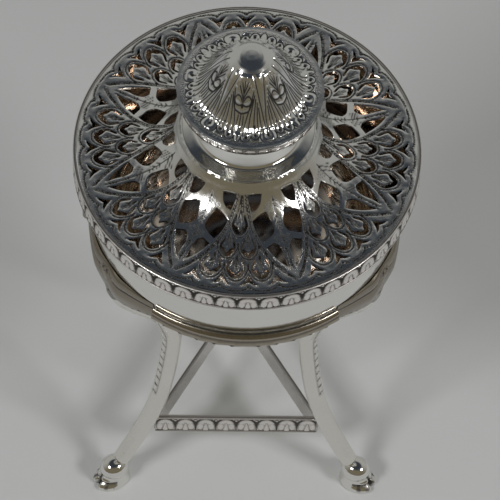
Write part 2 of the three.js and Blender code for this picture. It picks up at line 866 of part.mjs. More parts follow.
// Height of the cap above its rim, as shares of its shoulder's radius and of its rise: a
// low boss, a steep bell and a hollow run out to the flange
const capStations = [
  [0, 1],
  [0.1, 0.99],
  [0.2, 0.96],
  [0.28, 0.915],
  [0.34, 0.86],
  [0.4, 0.78],
  [0.5, 0.57],
  [0.61, 0.34],
  [0.7, 0.15],
  [0.76, 0.07],
  [0.86, 0.01],
  [1, 0],
];

// Height of the cap's dome above its rim at a radius, without ribs
function capHeight(r) {
  const share = Math.min(1, r / capShoulderRadius);
  for (let i = 0; i + 1 < capStations.length; i += 1) {
    const [a, ha] = capStations[i];
    const [b, hb] = capStations[i + 1];
    if (share <= b) {
      return capRise * (ha + (hb - ha) * (share - a) / (b - a));
    }
  }
  return 0;
}

// Cap: a hollow bell with ribs and swelling leaf panels between them, on a thin flange
function capDome() {
  const relief = [1, 0, 0.4, 0.6, 0.4, 0];
  const steps = capPanels * relief.length;
  const crown = 0.14;
  const outside = [crown, 0.28, 0.4, 0.5, 0.61, 0.7, 0.78, 1];
  const inside = [0.58, 0.3];
  const positions = [];
  const index = [];
  const rows = [];
  const addRow = (make) => {
    const row = [];
    for (let j = 0; j < steps; j += 1) {
      const [x, y, z] = make(capRibTurn + (j / steps) * 360, relief[j % relief.length]);
      row.push(positions.length / 3);
      positions.push(x, y, z);
    }
    rows.push(row);
  };
  const addPole = (z) => {
    rows.push([positions.length / 3]);
    positions.push(0, 0, z);
  };
  addPole(capRimHeight + capRise);
  for (const share of outside) {
    const r = share * capShoulderRadius;
    const fade = Math.sin(Math.PI * (share - crown) / (1 - crown));
    addRow((angle, high) => (
      [...polar(angle, r), capRimHeight + capHeight(r) + capRelief * fade * high]
    ));
  }
  addRow((angle) => [...polar(angle, capRadius), capRimHeight]);
  addRow((angle) => [...polar(angle, capRadius), capUnderside]);
  addRow((angle) => [...polar(angle, neckTopRadius - neckWall), capUnderside]);
  for (const share of inside) {
    const r = share * capShoulderRadius;
    addRow((angle) => [...polar(angle, r), capRimHeight + capHeight(r) - capWall]);
  }
  addPole(capRimHeight + capRise - capWall);
  for (let i = 0; i + 1 < rows.length; i += 1) {
    const [above, below] = [rows[i], rows[i + 1]];
    for (let j = 0; j < steps; j += 1) {
      const k = (j + 1) % steps;
      if (above.length > 1) {
        index.push(above[j], below[j % below.length], above[k]);
      }
      if (below.length > 1) {
        index.push(above[k % above.length], below[j], below[k]);
      }
    }
  }
  const geometry = new THREE.BufferGeometry();
  geometry.setAttribute('position', new THREE.Float32BufferAttribute(positions, 3));
  geometry.setIndex(index);
  return geometry;
}

// Strip under the cap's flange: a hoop with a row of small eggs
function capGalleryStrip() {
  const outer = capRadius - capStripInset;
  const inner = outer - capStripThickness;
  const top = capUnderside - solderGap;
  const steps = capEggs * 2;
  const geometry = revolve([
    [inner, top - capStripHeight],
    [outer, top - capStripHeight],
    [outer, top],
    [inner, top],
    [inner, top - capStripHeight],
  ], steps);
  const position = geometry.getAttribute('position');
  for (let i = 0; i < position.count; i += 1) {
    const [x, y] = [position.getX(i), position.getY(i)];
    const r = Math.hypot(x, y);
    if (r > outer - 0.5 * capStripThickness) {
      const swell = 0.5 * (1 + Math.cos(Math.atan2(y, x) * capEggs));
      const grow = 1 + capEggDepth * swell / r;
      position.setX(i, x * grow);
      position.setY(i, y * grow);
    }
  }
  return geometry;
}

// Colours and finishes
function silver(color, roughness) {
  return new THREE.MeshStandardMaterial({ color, roughness, metalness: 1 });
}

const jar = new THREE.Group();

function place(parent, name, geometry, material) {
  geometry.deleteAttribute('uv');
  const mesh = new THREE.Mesh(geometry, material);
  mesh.name = name;
  parent.add(mesh);
  return mesh;
}

// Stand: bowl, strip, garland, masks, legs, hooves and stretcher
const stand = new THREE.Group();
jar.add(stand);
place(stand, 'bowl', bowl(), silver(0xd9d8d2, 0.12));
place(stand, 'bowl_gallery_strip', bowlGalleryStrip(), silver(0xcfcbc2, 0.25));

const legStep = 360 / legCount;
const maskGap = maskHalfAngle + garlandClearance / stripRadius / DEG;
for (let i = 0; i < legCount; i += 1) {
  const angle = firstLegAngle + i * legStep;
  const number = i + 1;
  const station = new THREE.Group();
  station.rotation.z = angle * DEG;
  stand.add(station);
  place(station, `ram_mask_${number}`, toGeometry(ramMask()), silver(0xb9b2a0, 0.3));
  place(station, `leg_${number}`, toGeometry(leg()), silver(0xd2cfc6, 0.18));
  place(station, `hoof_${number}`, toGeometry(hoof()), silver(0xbdb8ae, 0.22));
  const swag = garland(maskGap, legStep - maskGap);
  place(station, `garland_${number}`, swag, silver(0xc9c5b9, 0.22));
  const bar = place(station, `stretcher_bar_${number}`, stretcherBar(), silver(0xcfcbc2, 0.25));
  bar.rotation.z = (0.5 * legStep + 90) * DEG;
}

// Cover: pierced dome, bezel, neck, cap and the strip under the cap
const cover = new THREE.Group();
jar.add(cover);
place(cover, 'pierced_cover', piercedCover(), silver(0xc4c4c2, 0.16));
place(cover, 'cover_bezel', coverBezel(), silver(0xd8b878, 0.2));
place(cover, 'neck_collar', neckCollar(), silver(0xdcdad2, 0.1));
place(cover, 'cap_dome', capDome(), silver(0xcfcdc8, 0.16));
place(cover, 'cap_gallery_strip', capGalleryStrip(), silver(0xcbc7bc, 0.25));

export default jar;
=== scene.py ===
from math import atan2, cos, degrees, exp, hypot, pi, sin, sqrt

import bmesh
import bpy
import numpy as np
from mathutils import Matrix, Vector, geometry, kdtree, noise


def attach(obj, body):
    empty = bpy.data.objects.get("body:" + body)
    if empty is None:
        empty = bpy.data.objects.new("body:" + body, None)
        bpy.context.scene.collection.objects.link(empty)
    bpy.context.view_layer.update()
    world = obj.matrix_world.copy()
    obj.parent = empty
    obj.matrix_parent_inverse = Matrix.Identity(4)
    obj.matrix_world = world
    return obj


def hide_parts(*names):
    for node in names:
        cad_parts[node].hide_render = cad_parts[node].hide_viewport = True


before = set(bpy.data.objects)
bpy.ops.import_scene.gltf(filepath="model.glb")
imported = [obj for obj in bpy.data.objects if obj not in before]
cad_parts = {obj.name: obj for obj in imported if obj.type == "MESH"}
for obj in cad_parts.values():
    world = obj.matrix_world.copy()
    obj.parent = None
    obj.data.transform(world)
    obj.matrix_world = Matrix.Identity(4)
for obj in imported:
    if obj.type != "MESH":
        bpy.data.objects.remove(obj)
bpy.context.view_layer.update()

# Sizes are in millimetres until a mesh is made
MM = 0.001
WELD = 0.000003
DEG = pi / 180

# Camera: a long lens, looking steeply down, with the object leaning slightly in the picture
CAMERA_PLACE = Vector((-0.03602, -0.79643, 1.35494))
CAMERA_YAW = 2.75 * DEG
CAMERA_PITCH = 57.6 * DEG
CAMERA_ROLL = 2.92 * DEG
LENS_MM = 360
SENSOR_MM = 36


def put_in_scene(name, data):
    made = bpy.data.objects.new(name, data)
    bpy.context.scene.collection.objects.link(made)
    return made


def make_camera():
    pitch = cos(CAMERA_PITCH)
    ahead = Vector((sin(CAMERA_YAW) * pitch, cos(CAMERA_YAW) * pitch, -sin(CAMERA_PITCH)))
    level = Vector((cos(CAMERA_YAW), -sin(CAMERA_YAW), 0))
    above = level.cross(ahead)
    right = level * cos(CAMERA_ROLL) + above * sin(CAMERA_ROLL)
    up = above * cos(CAMERA_ROLL) - level * sin(CAMERA_ROLL)
    data = bpy.data.cameras.new("camera")
    data.lens = LENS_MM
    data.sensor_width = SENSOR_MM
    camera = put_in_scene("camera", data)
    turn = Matrix((right, up, -ahead)).transposed().to_4x4()
    camera.matrix_world = Matrix.Translation(CAMERA_PLACE) @ turn
    bpy.context.scene.camera = camera


make_camera()
bpy.context.scene.view_settings.view_transform = "Standard"


# Materials

def add(tree, kind, **values):
    node = tree.nodes.new(kind)
    for name, value in values.items():
        if name.startswith("in_"):
            node.inputs[name[3:].replace("_", " ")].default_value = value
        else:
            setattr(node, name, value)
    return node


def join(source, output, target, entry):
    target.id_data.links.new(source.outputs[output], target.inputs[entry])


# Tarnish and painted shade in hollows, unevenness of the roughness, and strengths and depths of the bumps
TARNISH_AND_SHADE_COLOR = (0.07, 0.065, 0.06, 1)
SOIL_ROUGHNESS = 0.35
ROUGHNESS_RANGE = (0.7, 1.4)
WAVE_DEPTH = 0.0004
SCRATCHES = 0.35
SCRATCH_DEPTH = 0.000005


def metal(name, color, shade, roughness, wave=0.25, wave_scale=260):
    """Silver or gilt: slow waves in the surface, fine scratches, and dark tarnish with painted shade where
    the mesh carries a value for it"""
    made = bpy.data.materials.new(name)
    made.use_nodes = True
    tree = made.node_tree
    shader = tree.nodes["Principled BSDF"]
    shader.inputs["Metallic"].default_value = 1
    place = add(tree, "ShaderNodeTexCoord")

    def cloud(scale, detail, target, entry):
        texture = add(tree, "ShaderNodeTexNoise", in_Scale=scale, in_Detail=detail)
        join(place, "Object", texture, "Vector")
        join(texture, "Fac", target, entry)

    tint = add(tree, "ShaderNodeMix", data_type="RGBA", in_A=(*color, 1), in_B=(*shade, 1))
    cloud(90, 3, tint, "Factor")
    dirt_and_shade = add(tree, "ShaderNodeAttribute", attribute_name="tarnish_and_shade")
    # The mesh's darkening value multiplies the base colour towards near black: tarnish, and painted shade
    # in hollows and cuts
    soil_and_shade = add(tree, "ShaderNodeMix", data_type="RGBA", blend_type="MULTIPLY", in_B=TARNISH_AND_SHADE_COLOR)
    join(dirt_and_shade, "Fac", soil_and_shade, "Factor")
    join(tint, "Result", soil_and_shade, "A")
    join(soil_and_shade, "Result", shader, "Base Color")
    low, high = ROUGHNESS_RANGE
    spread = add(tree, "ShaderNodeMapRange", in_To_Min=roughness * low, in_To_Max=roughness * high)
    cloud(900, 2, spread, "Value")
    dull = add(tree, "ShaderNodeMath", operation="MULTIPLY_ADD")
    dull.inputs[1].default_value = SOIL_ROUGHNESS
    join(dirt_and_shade, "Fac", dull, 0)
    join(spread, "Result", dull, 2)
    join(dull, "Value", shader, "Roughness")
    waves = add(tree, "ShaderNodeBump", in_Strength=wave, in_Distance=WAVE_DEPTH)
    cloud(wave_scale, 1, waves, "Height")
    scratches = add(tree, "ShaderNodeBump", in_Strength=SCRATCHES, in_Distance=SCRATCH_DEPTH)
    cloud(5200, 2, scratches, "Height")
    join(waves, "Normal", scratches, "Normal")
    join(scratches, "Normal", shader, "Normal")
    return made


POLISHED = metal("polished_silver", (0.86, 0.85, 0.82), (0.80, 0.79, 0.76), 0.08, wave=0.08)
CHASED = metal("chased_silver", (0.82, 0.82, 0.81), (0.74, 0.74, 0.73), 0.15, wave=0.2)
GALLERY = metal("gallery_silver", (0.86, 0.83, 0.80), (0.80, 0.76, 0.73), 0.22)
# Darker brown copy of the cast silver, for garlands and masks: painted reflection of the olive-brown room
# and painted shade; the legs use the pale copy below
CAST = metal("cast_silver", (0.56, 0.51, 0.43), (0.42, 0.37, 0.30), 0.11)
CAST_PLAIN = metal("cast_silver_plain", (0.86, 0.84, 0.79), (0.80, 0.78, 0.73), 0.22)
GILT = metal("gilt_silver", (0.84, 0.75, 0.66), (0.60, 0.50, 0.42), 0.06, wave=0.3, wave_scale=110)


# Mesh helpers

def new_piece(name, shape, material, nodes, body, sharp=50, gilt=None):
    """Piece from coordinates in millimetres, faces, and a darkening value for tarnish and painted shade;
    gilt tests for gilt faces
    """
    coords, faces, tarnish_and_shade = shape
    mesh = bpy.data.meshes.new(name)
    mesh.from_pydata([(x * MM, y * MM, z * MM) for x, y, z in coords], [], faces)
    mesh.materials.append(material)
    # Darkening value for tarnish and painted shade, kept on the mesh as an attribute
    if tarnish_and_shade is not None:
        values = mesh.attributes.new("tarnish_and_shade", "FLOAT", "POINT")
        values.data.foreach_set("value", np.asarray(tarnish_and_shade, dtype=np.float32))
    welded = bmesh.new()
    welded.from_mesh(mesh)
    bmesh.ops.remove_doubles(welded, verts=welded.verts, dist=WELD)
    bmesh.ops.recalc_face_normals(welded, faces=welded.faces)
    welded.to_mesh(mesh)
    welded.free()
    piece = put_in_scene(name, mesh)
    mesh.shade_smooth()
    mesh.set_sharp_from_angle(angle=sharp * DEG)
    if gilt:
        mesh.materials.append(GILT)
        for polygon in mesh.polygons:
            if gilt(polygon):
                polygon.material_index = 1
    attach(piece, body)
    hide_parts(*nodes)


def loop_faces(rows, columns, wrap_rows=False, start=0):
    """Quads over rows of points, each row a closed loop"""
    faces = []
    for i in range(rows if wrap_rows else rows - 1):
        below = start + ((i + 1) % rows) * columns
        here = start + i * columns
        for j in range(columns):
            k = (j + 1) % columns
            faces.append((here + j, here + k, below + k, below + j))
    return faces


def tube_faces(rows, columns, start=0, flip=False):
    """The same with both ends closed"""
    faces = loop_faces(rows, columns, start=start)
    faces.append(tuple(reversed(range(start, start + columns))))
    faces.append(tuple(range(start + (rows - 1) * columns, start + rows * columns)))
    return [face[::-1] for face in faces] if flip else faces


def ball_faces(rows, columns):
    """Quads over rows of points, closed by a point before them and one after them"""
    faces = loop_faces(rows, columns, start=1)
    last = rows * columns + 1
    for j in range(columns):
        k = (j + 1) % columns
        faces.append((0, 1 + k, 1 + j))
        faces.append((last, last - columns + j, last - columns + k))
    return faces


def smooth_line(points, steps=6, closed=False):
    """Points of a curve through the given ones. A point with a third value of 1 is a corner"""
    count = len(points)
    line = []
    spans = count if closed else count - 1
    for i in range(spans):
        p1, p2 = points[i], points[(i + 1) % count]
        p0 = points[(i - 1) % count] if closed or i > 0 else p1
        p3 = points[(i + 2) % count] if closed or i + 2 < count else p2
        if len(p1) > 2:
            p0 = p1
        if len(p2) > 2:
            p3 = p2
        for j in range(steps):
            t = j / steps
            line.append(tuple(
                0.5 * (2 * b + (c - a) * t + (2 * a - 5 * b + 4 * c - d) * t * t
                       + (3 * b - a - 3 * c + d) * t ** 3)
                for a, b, c, d in zip(p0[:2], p1[:2], p2[:2], p3[:2])
            ))
    if not closed:
        line.append(tuple(points[-1][:2]))
    return line


def lathe(profile, steps):
    """Clean closed ring revolved from (radius, height) points"""
    coords = []
    for i in range(steps):
        turn = 2 * pi * i / steps
        coords += [(r * cos(turn), r * sin(turn), z) for r, z in profile]
    return coords, loop_faces(steps, len(profile), wrap_rows=True), None


def polar(angle, radius):
    return radius * cos(angle * DEG), radius * sin(angle * DEG)


def turned(turn, x, y, z):
    """Place turned about the upright axis"""
    c, s = polar(turn, 1)
    return x * c - y * s, x * s + y * c, z


def clamp(value):
    return min(1, max(0, value))


def bump(value, centre, width):
    """1 at the centre, falling off to both sides; also for arrays"""
    return np.exp(-((value - centre) / width) ** 2)


# Sizes shared with the solids

RIM = 152.9
STRIP_RADIUS = 50.0
STRIP_HEIGHT = 7.1
STRIP_THICKNESS = 0.6
BOWL_OUTER = 49.1
BOWL_RIM = 151.8
BOWL_TAPER = 4.0
BOWL_SHOULDER = 122.9
BOWL_ROUND = 24.0
BOWL_FLAT = 7.0
BOWL_WALL = 1.2
COVER_OUTER = 49.1
COVER_FLANGE = 1.1
COVER_RISE = 9.2
COVER_EDGE_RISE = 0.3
COVER_SWEEP = 4
COVER_INNER = 18.0
COVER_THICKNESS = 0.8
FLARE_RADIUS = 20.9
FLARE_RISE = 2.2
NECK_FOOT = 19.3
NECK_BOTTOM = 164.6
NECK_TOP = 183.3
CAP_RIM = 184.4
CAP_RADIUS = 21.0
CAP_RISE = 16.2


def wall_radius(z):
    return BOWL_OUTER - BOWL_TAPER * min(1, (BOWL_RIM - z) / (BOWL_RIM - BOWL_SHOULDER))


def cover_height(r):
    foot = COVER_OUTER - COVER_FLANGE
    if r >= foot:
        return COVER_EDGE_RISE * (COVER_OUTER - r) / COVER_FLANGE
    if r >= FLARE_RADIUS:
        share = (foot - r) / (foot - FLARE_RADIUS)
        return COVER_EDGE_RISE + (COVER_RISE - COVER_EDGE_RISE) * share ** COVER_SWEEP
    share = min(1, (FLARE_RADIUS - r) / (FLARE_RADIUS - NECK_FOOT))
    return COVER_RISE + FLARE_RISE * (0.6 * share + 0.4 * share * share)


# Pierced cover

SECTOR = 45.0
LEAF_TURN = 17.7

# Outer edge of a leaf: radius and half angle
LEAF_EDGE = [(20.9, 20.8), (22, 20.5), (25, 18.9), (28.5, 16.7), (32, 14.1), (36, 10.9), (39.5, 7.9),
             (43, 4.6), (45.2, 2.4), (46.4, 1.0)]

# Openings of half a leaf, as angle from its axis and radius; a third value marks a corner
LEAF_OPENINGS = [
    [(1.2, 42.4, 1), (4.1, 39.9), (6.7, 37.2), (9.0, 34.6, 1), (4.9, 33.5, 1), (2.4, 34.7), (1.6, 37.0),
     (1.7, 39.6)],
    [(10.2, 32.9, 1), (4.8, 31.2), (2.6, 29.3, 1), (3.6, 27.3), (6.2, 25.0, 1), (10.5, 25.6),
     (15.2, 27.0, 1), (13.2, 30.0)],
    [(16.0, 24.7, 1), (17.8, 22.6), (18.2, 21.3, 1), (7.6, 21.3, 1), (9.3, 23.2), (12.5, 24.4)],
]

# Scales between two leaves: angles from the sector's middle, then radii of apex, widest
# place and foot, half width in mm, then the fleuron's tip, lobe radius, lobe half width
SCALE_STEP = 9.9
SCALE_ROWS = [
    ((-SCALE_STEP, 0, SCALE_STEP), 44.6, 40.9, 37.7, 2.85, 43.1, 41.0, 2.15),
    ((-SCALE_STEP / 2, SCALE_STEP / 2), 37.5, 34.4, 31.5, 2.3, 36.0, 34.2, 1.6),
    ((0,), 30.8, 28.0, 25.4, 2.3, 29.4, 27.8, 1.5),
]

HEART_AXES = [SECTOR / 2 + k * SCALE_STEP for k in (-1.55, -0.5, 0.5, 1.55)]
HEART = [(0, 43.0, 1), (0.7, 44.3), (1.3, 45.3), (2.6, 46.7, 1), (1.2, 46.3), (0, 45.5, 1)]


def mirrored(points):
    return [(-p[0], *p[1:]) for p in reversed(points)]


def across(axis, points):
    """Outline given by (mm across an axis, radius) turned into angles"""
    return [(axis + p[0] / p[1] / DEG, *p[1:]) for p in points]


def scale_outline(axis, apex, wide, foot, half, tip, lobe, lobe_half):
    """Opening of a scale round its fleuron"""
    shoulder = apex - 0.27 * (apex - wide)
    outer = [(0.55 * half, foot, 1), (half, wide), (0.62 * half, shoulder), (0, apex)]
    waist = foot + 0.22 * (wide - foot)
    neck_of_lobe = lobe + 0.5 * (tip - lobe)
    inner = [(-0.585 * lobe_half, waist), (-lobe_half, lobe), (-0.45 * lobe_half, neck_of_lobe), (0, tip)]
    return across(axis, outer + mirrored(outer)[1:] + inner + mirrored(inner)[1:])


def sector_openings():
    outlines = []
    for outline in LEAF_OPENINGS:
        outlines.append(outline)
        outlines.append([(SECTOR - p[0], *p[1:]) for p in reversed(outline)])
    for angles, *shape in SCALE_ROWS:
        for angle in angles:
            outlines.append(scale_outline(SECTOR / 2 + angle, *shape))
    for axis in HEART_AXES:
        outlines.append(across(axis, HEART + mirrored(HEART)[1:-1]))
    plans = [[(*polar(p[0], p[1]), *p[2:]) for p in outline] for outline in outlines]
    return [smooth_line(plan, 5, True) for plan in plans]


def zigzag(line, pitch=0.8, reach=0.28):
    """Wriggled line that steps to both sides of a plan line"""
    points = [Vector(p) for p in line]
    lengths = [0]
    for a, b in zip(points, points[1:]):
        lengths.append(lengths[-1] + (b - a).length)
    count = max(2, round(lengths[-1] / (pitch / 2)))
    result = []
    for i in range(count + 1):
        at = lengths[-1] * i / count
        k = min(len(points) - 2, int(np.searchsorted(lengths, at, "right")) - 1)
        step = points[k + 1] - points[k]
        share = (at - lengths[k]) / max(1e-9, lengths[k + 1] - lengths[k])
        side = Vector((-step.y, step.x)).normalized() * (reach if i % 2 else -reach)
        result.append(tuple(points[k] + step * share + side))
    return result


# Scalloped border: radius of its cusps, reach of its arcs and how square they are
SCALLOP_FOOT = 46.75
SCALLOP_REACH = 1.65
SCALLOP_POWER = 2.6


def scallop_line():
    """Scalloped border of one sector, as plan points"""
    cusps = [HEART_AXES[-1] - SECTOR, *HEART_AXES, HEART_AXES[0] + SECTOR]
    line = []
    for left, right in zip(cusps, cusps[1:]):
        half = (right - left) / 2
        for i in range(-10, 10):
            rise = sqrt(1 - (abs(i) / 10) ** SCALLOP_POWER)
            line.append((left + half * (1 + i / 10), SCALLOP_FOOT + SCALLOP_REACH * rise))
    return [polar(angle, radius) for angle, radius in line if -0.5 < angle < SECTOR + 0.5]


# Groups of barbs on a leaf's vein: lowest and highest radius, length and number
LEAF_BARBS = [(22.5, 25.0, 3.2, 4), (26.0, 29.6, 0.9, 5), (30.5, 33.5, 2.2, 4), (35.0, 41.5, 0.6, 7)]


def leaf_lines():
    """Veins of the sprig on both halves of the sector's leaves"""
    lines = []
    for axis, sign in ((0, 1), (SECTOR, -1)):
        lines.append([polar(axis, r) for r in np.linspace(22.0, 43.0, 40)])
        for low, high, reach, count in LEAF_BARBS:
            for i in range(count):
                r = low + (high - low) * (i + 0.5) / count
                lines.append([polar(axis, r), polar(axis + sign * reach / r / DEG, r + 0.5 + 0.35 * reach)])
    return lines


# Lines along a leaf's edge: distance from it and reach of the zigzag
LEAF_BORDERS = [(0.32, 0.28), (0.95, 0.0)]
# Strokes at a scale's foot: place across its top and share of its height
SCALE_STROKES = [(-0.8, 0.45), (-0.3, 0.75), (0.3, 0.75), (0.8, 0.45)]
# Places across of the stems below the last scale
STEMS = (-0.8, 0, 0.8)


def engraved_lines():
    """Engraved lines of one sector, as plan polylines"""
    lines = leaf_lines()
    radii = np.linspace(21.4, 46.3, 30)
    half_angles = np.interp(radii, *zip(*LEAF_EDGE))
    for inset, reach in LEAF_BORDERS:
        band = [(half - inset / r / DEG, r) for half, r in zip(half_angles, radii)]
        band = [p for p in band if p[0] > 0.5]
        for edge in ([polar(*p) for p in band], [polar(SECTOR - p[0], p[1]) for p in band]):
            lines.append(zigzag(edge, reach=reach) if reach else edge)
    lines.append(zigzag(scallop_line()))
    for angles, apex, wide, foot, half, tip, *_ in SCALE_ROWS:
        for angle in angles:
            axis = SECTOR / 2 + angle
            shoulder = apex - 0.1 * (apex - wide)
            outer = [(half + 0.45, wide - 1.4), (half + 0.5, wide + 0.4), (0.62 * half + 0.42, shoulder),
                     (0, apex + 0.6)]
            arc = smooth_line(across(axis, outer + mirrored(outer)[1:]), 5)
            lines.append(zigzag([polar(*p) for p in arc], 0.72, 0.2))
            for lean, length in SCALE_STROKES:
                low, high = foot - 0.9, foot + length * (tip - foot)
                start = polar(axis + 0.2 * lean / low / DEG, low)
                lines.append([start, polar(axis + lean / high / DEG, high)])
    stem = np.linspace(21.6, 25.0, 10)
    for lean in STEMS:
        lines.append([polar(SECTOR / 2 + lean * (r - 20) / 5 / r / DEG, r) for r in stem])
    return lines


def inside(points, outline):
    """Which of the points lie in a plan outline"""
    result = np.zeros(len(points), dtype=bool)
    px, py = points[:, 0], points[:, 1]
    for (x1, y1), (x2, y2) in zip(outline, outline[1:] + outline[:1]):
        if y1 != y2:
            crossing = ((y1 > py) != (y2 > py)) & (px < (x2 - x1) * (py - y1) / (y2 - y1) + x1)
            result ^= crossing
    return result


def segment_distance(points, lines):
    """Distance of each point from the nearest of the polylines"""
    nearest = np.full(len(points), 9.0)
    for line in lines:
        line = np.asarray(line)
        low, high = line.min(axis=0) - 0.5, line.max(axis=0) + 0.5
        close = np.where(((points > low) & (points < high)).all(axis=1))[0]
        if len(close) == 0:
            continue
        chosen = points[close][:, None, :]
        start, step = line[:-1][None], (line[1:] - line[:-1])[None]
        share = np.clip(((chosen - start) * step).sum(-1) / np.maximum((step ** 2).sum(-1), 1e-12), 0, 1)
        gap = np.sqrt(((chosen - start - share[..., None] * step) ** 2).sum(-1)).min(axis=1)
        nearest[close] = np.minimum(nearest[close], gap)
    return nearest


def offset_ring(outline, gap):
    """Points just outside an opening"""
    ring = []
    count = len(outline)
    area = sum(a[0] * b[1] - b[0] * a[1] for a, b in zip(outline, outline[1:] + outline[:1]))
    sign = 1 if area > 0 else -1
    for i in range(count):
        before, here, after = (Vector(outline[(i + k) % count]) for k in (-1, 0, 1))
        way = (here - before).normalized() + (after - here).normalized()
        if way.length > 0.3:
            way.normalize()
            ring.append(tuple(here + Vector((way.y, -way.x)) * gap * sign))
    return ring


ARC_STEPS = 60
CHAMFER = 0.12
GROOVE = 0.065
GROOVE_FADE = 0.075
GROOVE_DEPTH = 0.05
EDGE_DROP = 0.05
# Chased and plain side: pitch of the points, least distance between them, clearance of the
# openings, and points along a sector's side
FINE_GRID = (0.42, 0.075, 0.14, 90)
PLAIN_GRID = (1.6, 0.8, 0.4, 24)
GRID_ROW = 0.866
SEAM_CLEARANCE = 0.12
SEAM_ANGLE = 0.02
# Tarnish and painted shade at the foot of a cut wall, darker towards the underside
WALL_TARNISH_AND_SHADE = 0.4
# Unevenness of the cover: height, scale and level of the noise
DENTS = [(0.05, 0.22, 0), (0.02, 0.6, 7)]


def plan_mesh(fine):
    """Plan of one sector of the cover: points and triangles, with openings left out"""
    openings = sector_openings()
    pitch, cell, clear, side_steps = FINE_GRID if fine else PLAIN_GRID
    points, edges = [], []

    def add_line(line, closed=False):
        first = len(points)
        points.extend(line)
        last = len(points) - 1
        edges.extend((k, k + 1) for k in range(first, last))
        if closed:
            edges.append((last, first))

    radii = list(np.linspace(COVER_INNER, COVER_OUTER, side_steps))
    outer_arc = [polar(SECTOR * i / ARC_STEPS, COVER_OUTER) for i in range(ARC_STEPS + 1)]
    inner_arc = [polar(SECTOR * i / ARC_STEPS, COVER_INNER) for i in range(ARC_STEPS, -1, -1)]
    border = [polar(0, r) for r in radii[:-1]] + outer_arc
    border += [polar(SECTOR, r) for r in radii[-2:0:-1]] + inner_arc[:-1]
    add_line(border, True)
    for outline in openings:
        add_line(outline, True)
    loose = []
    if fine:
        for outline in openings:
            loose += offset_ring(outline, CHAMFER)
        for line in engraved_lines():
            turns = [degrees(atan2(y, x)) for x, y in line]
            line = [p for p, turn in zip(line, turns) if SEAM_ANGLE < turn < SECTOR - SEAM_ANGLE]
            if len(line) > 1:
                add_line(line)
                for a, b in zip(line, line[1:]):
                    a, b = Vector(a), Vector(b)
                    side = Vector((a.y - b.y, b.x - a.x)).normalized()
                    for reach in (GROOVE, GROOVE + GROOVE_FADE):
                        for share in (0.25, 0.75):
                            middle = a.lerp(b, share)
                            loose += [tuple(middle + side * reach), tuple(middle - side * reach)]
    x = np.arange(0, COVER_OUTER + 1, pitch)
    y = np.arange(0, COVER_OUTER + 1, pitch * GRID_ROW)
    grid = np.array([(a + 0.5 * pitch * (j % 2), b) for j, b in enumerate(y) for a in x])
    every = np.vstack([np.array(loose).reshape(-1, 2), grid])
    radius = np.hypot(every[:, 0], every[:, 1])
    angle = np.degrees(np.arctan2(every[:, 1], every[:, 0]))
    margin = 0.4 * pitch
    edge_gap = np.minimum(radius * np.sin(angle * DEG), radius * np.sin((SECTOR - angle) * DEG))
    good = (radius > COVER_INNER + margin) & (radius < COVER_OUTER - margin)
    every = every[good & (edge_gap > SEAM_CLEARANCE)]
    for outline in openings:
        every = every[~inside(every, outline)]
    closed = [outline + outline[:1] for outline in openings]
    every = every[segment_distance(every, closed) > clear]
    tree = kdtree.KDTree(len(points) + len(every))
    for i, p in enumerate(points):
        tree.insert((*p, 0), i)
    tree.balance()
    kept = []
    taken = set()
    for p in every:
        if tree.find((*p, 0))[2] < cell:
            continue
        key = (int(p[0] / cell), int(p[1] / cell))
        if any((key[0] + i, key[1] + j) in taken for i in (-1, 0, 1) for j in (-1, 0, 1)):
            continue
        taken.add(key)
        kept.append(tuple(p))
    everything = [Vector(p) for p in points + kept]
    made = geometry.delaunay_2d_cdt(everything, edges, [], 0, 1e-5)
    corners = np.array([tuple(v) for v in made[0]])
    triangles = np.array(made[2])
    middle = corners[triangles].mean(axis=1)
    inner_edge = COVER_INNER * cos(SECTOR / ARC_STEPS / 2 * DEG)
    keep = np.hypot(middle[:, 0], middle[:, 1]) > inner_edge
    for outline in openings:
        keep &= ~inside(middle, outline)
    return corners, triangles[keep], closed, [outer_arc[::-1], inner_arc[::-1]]


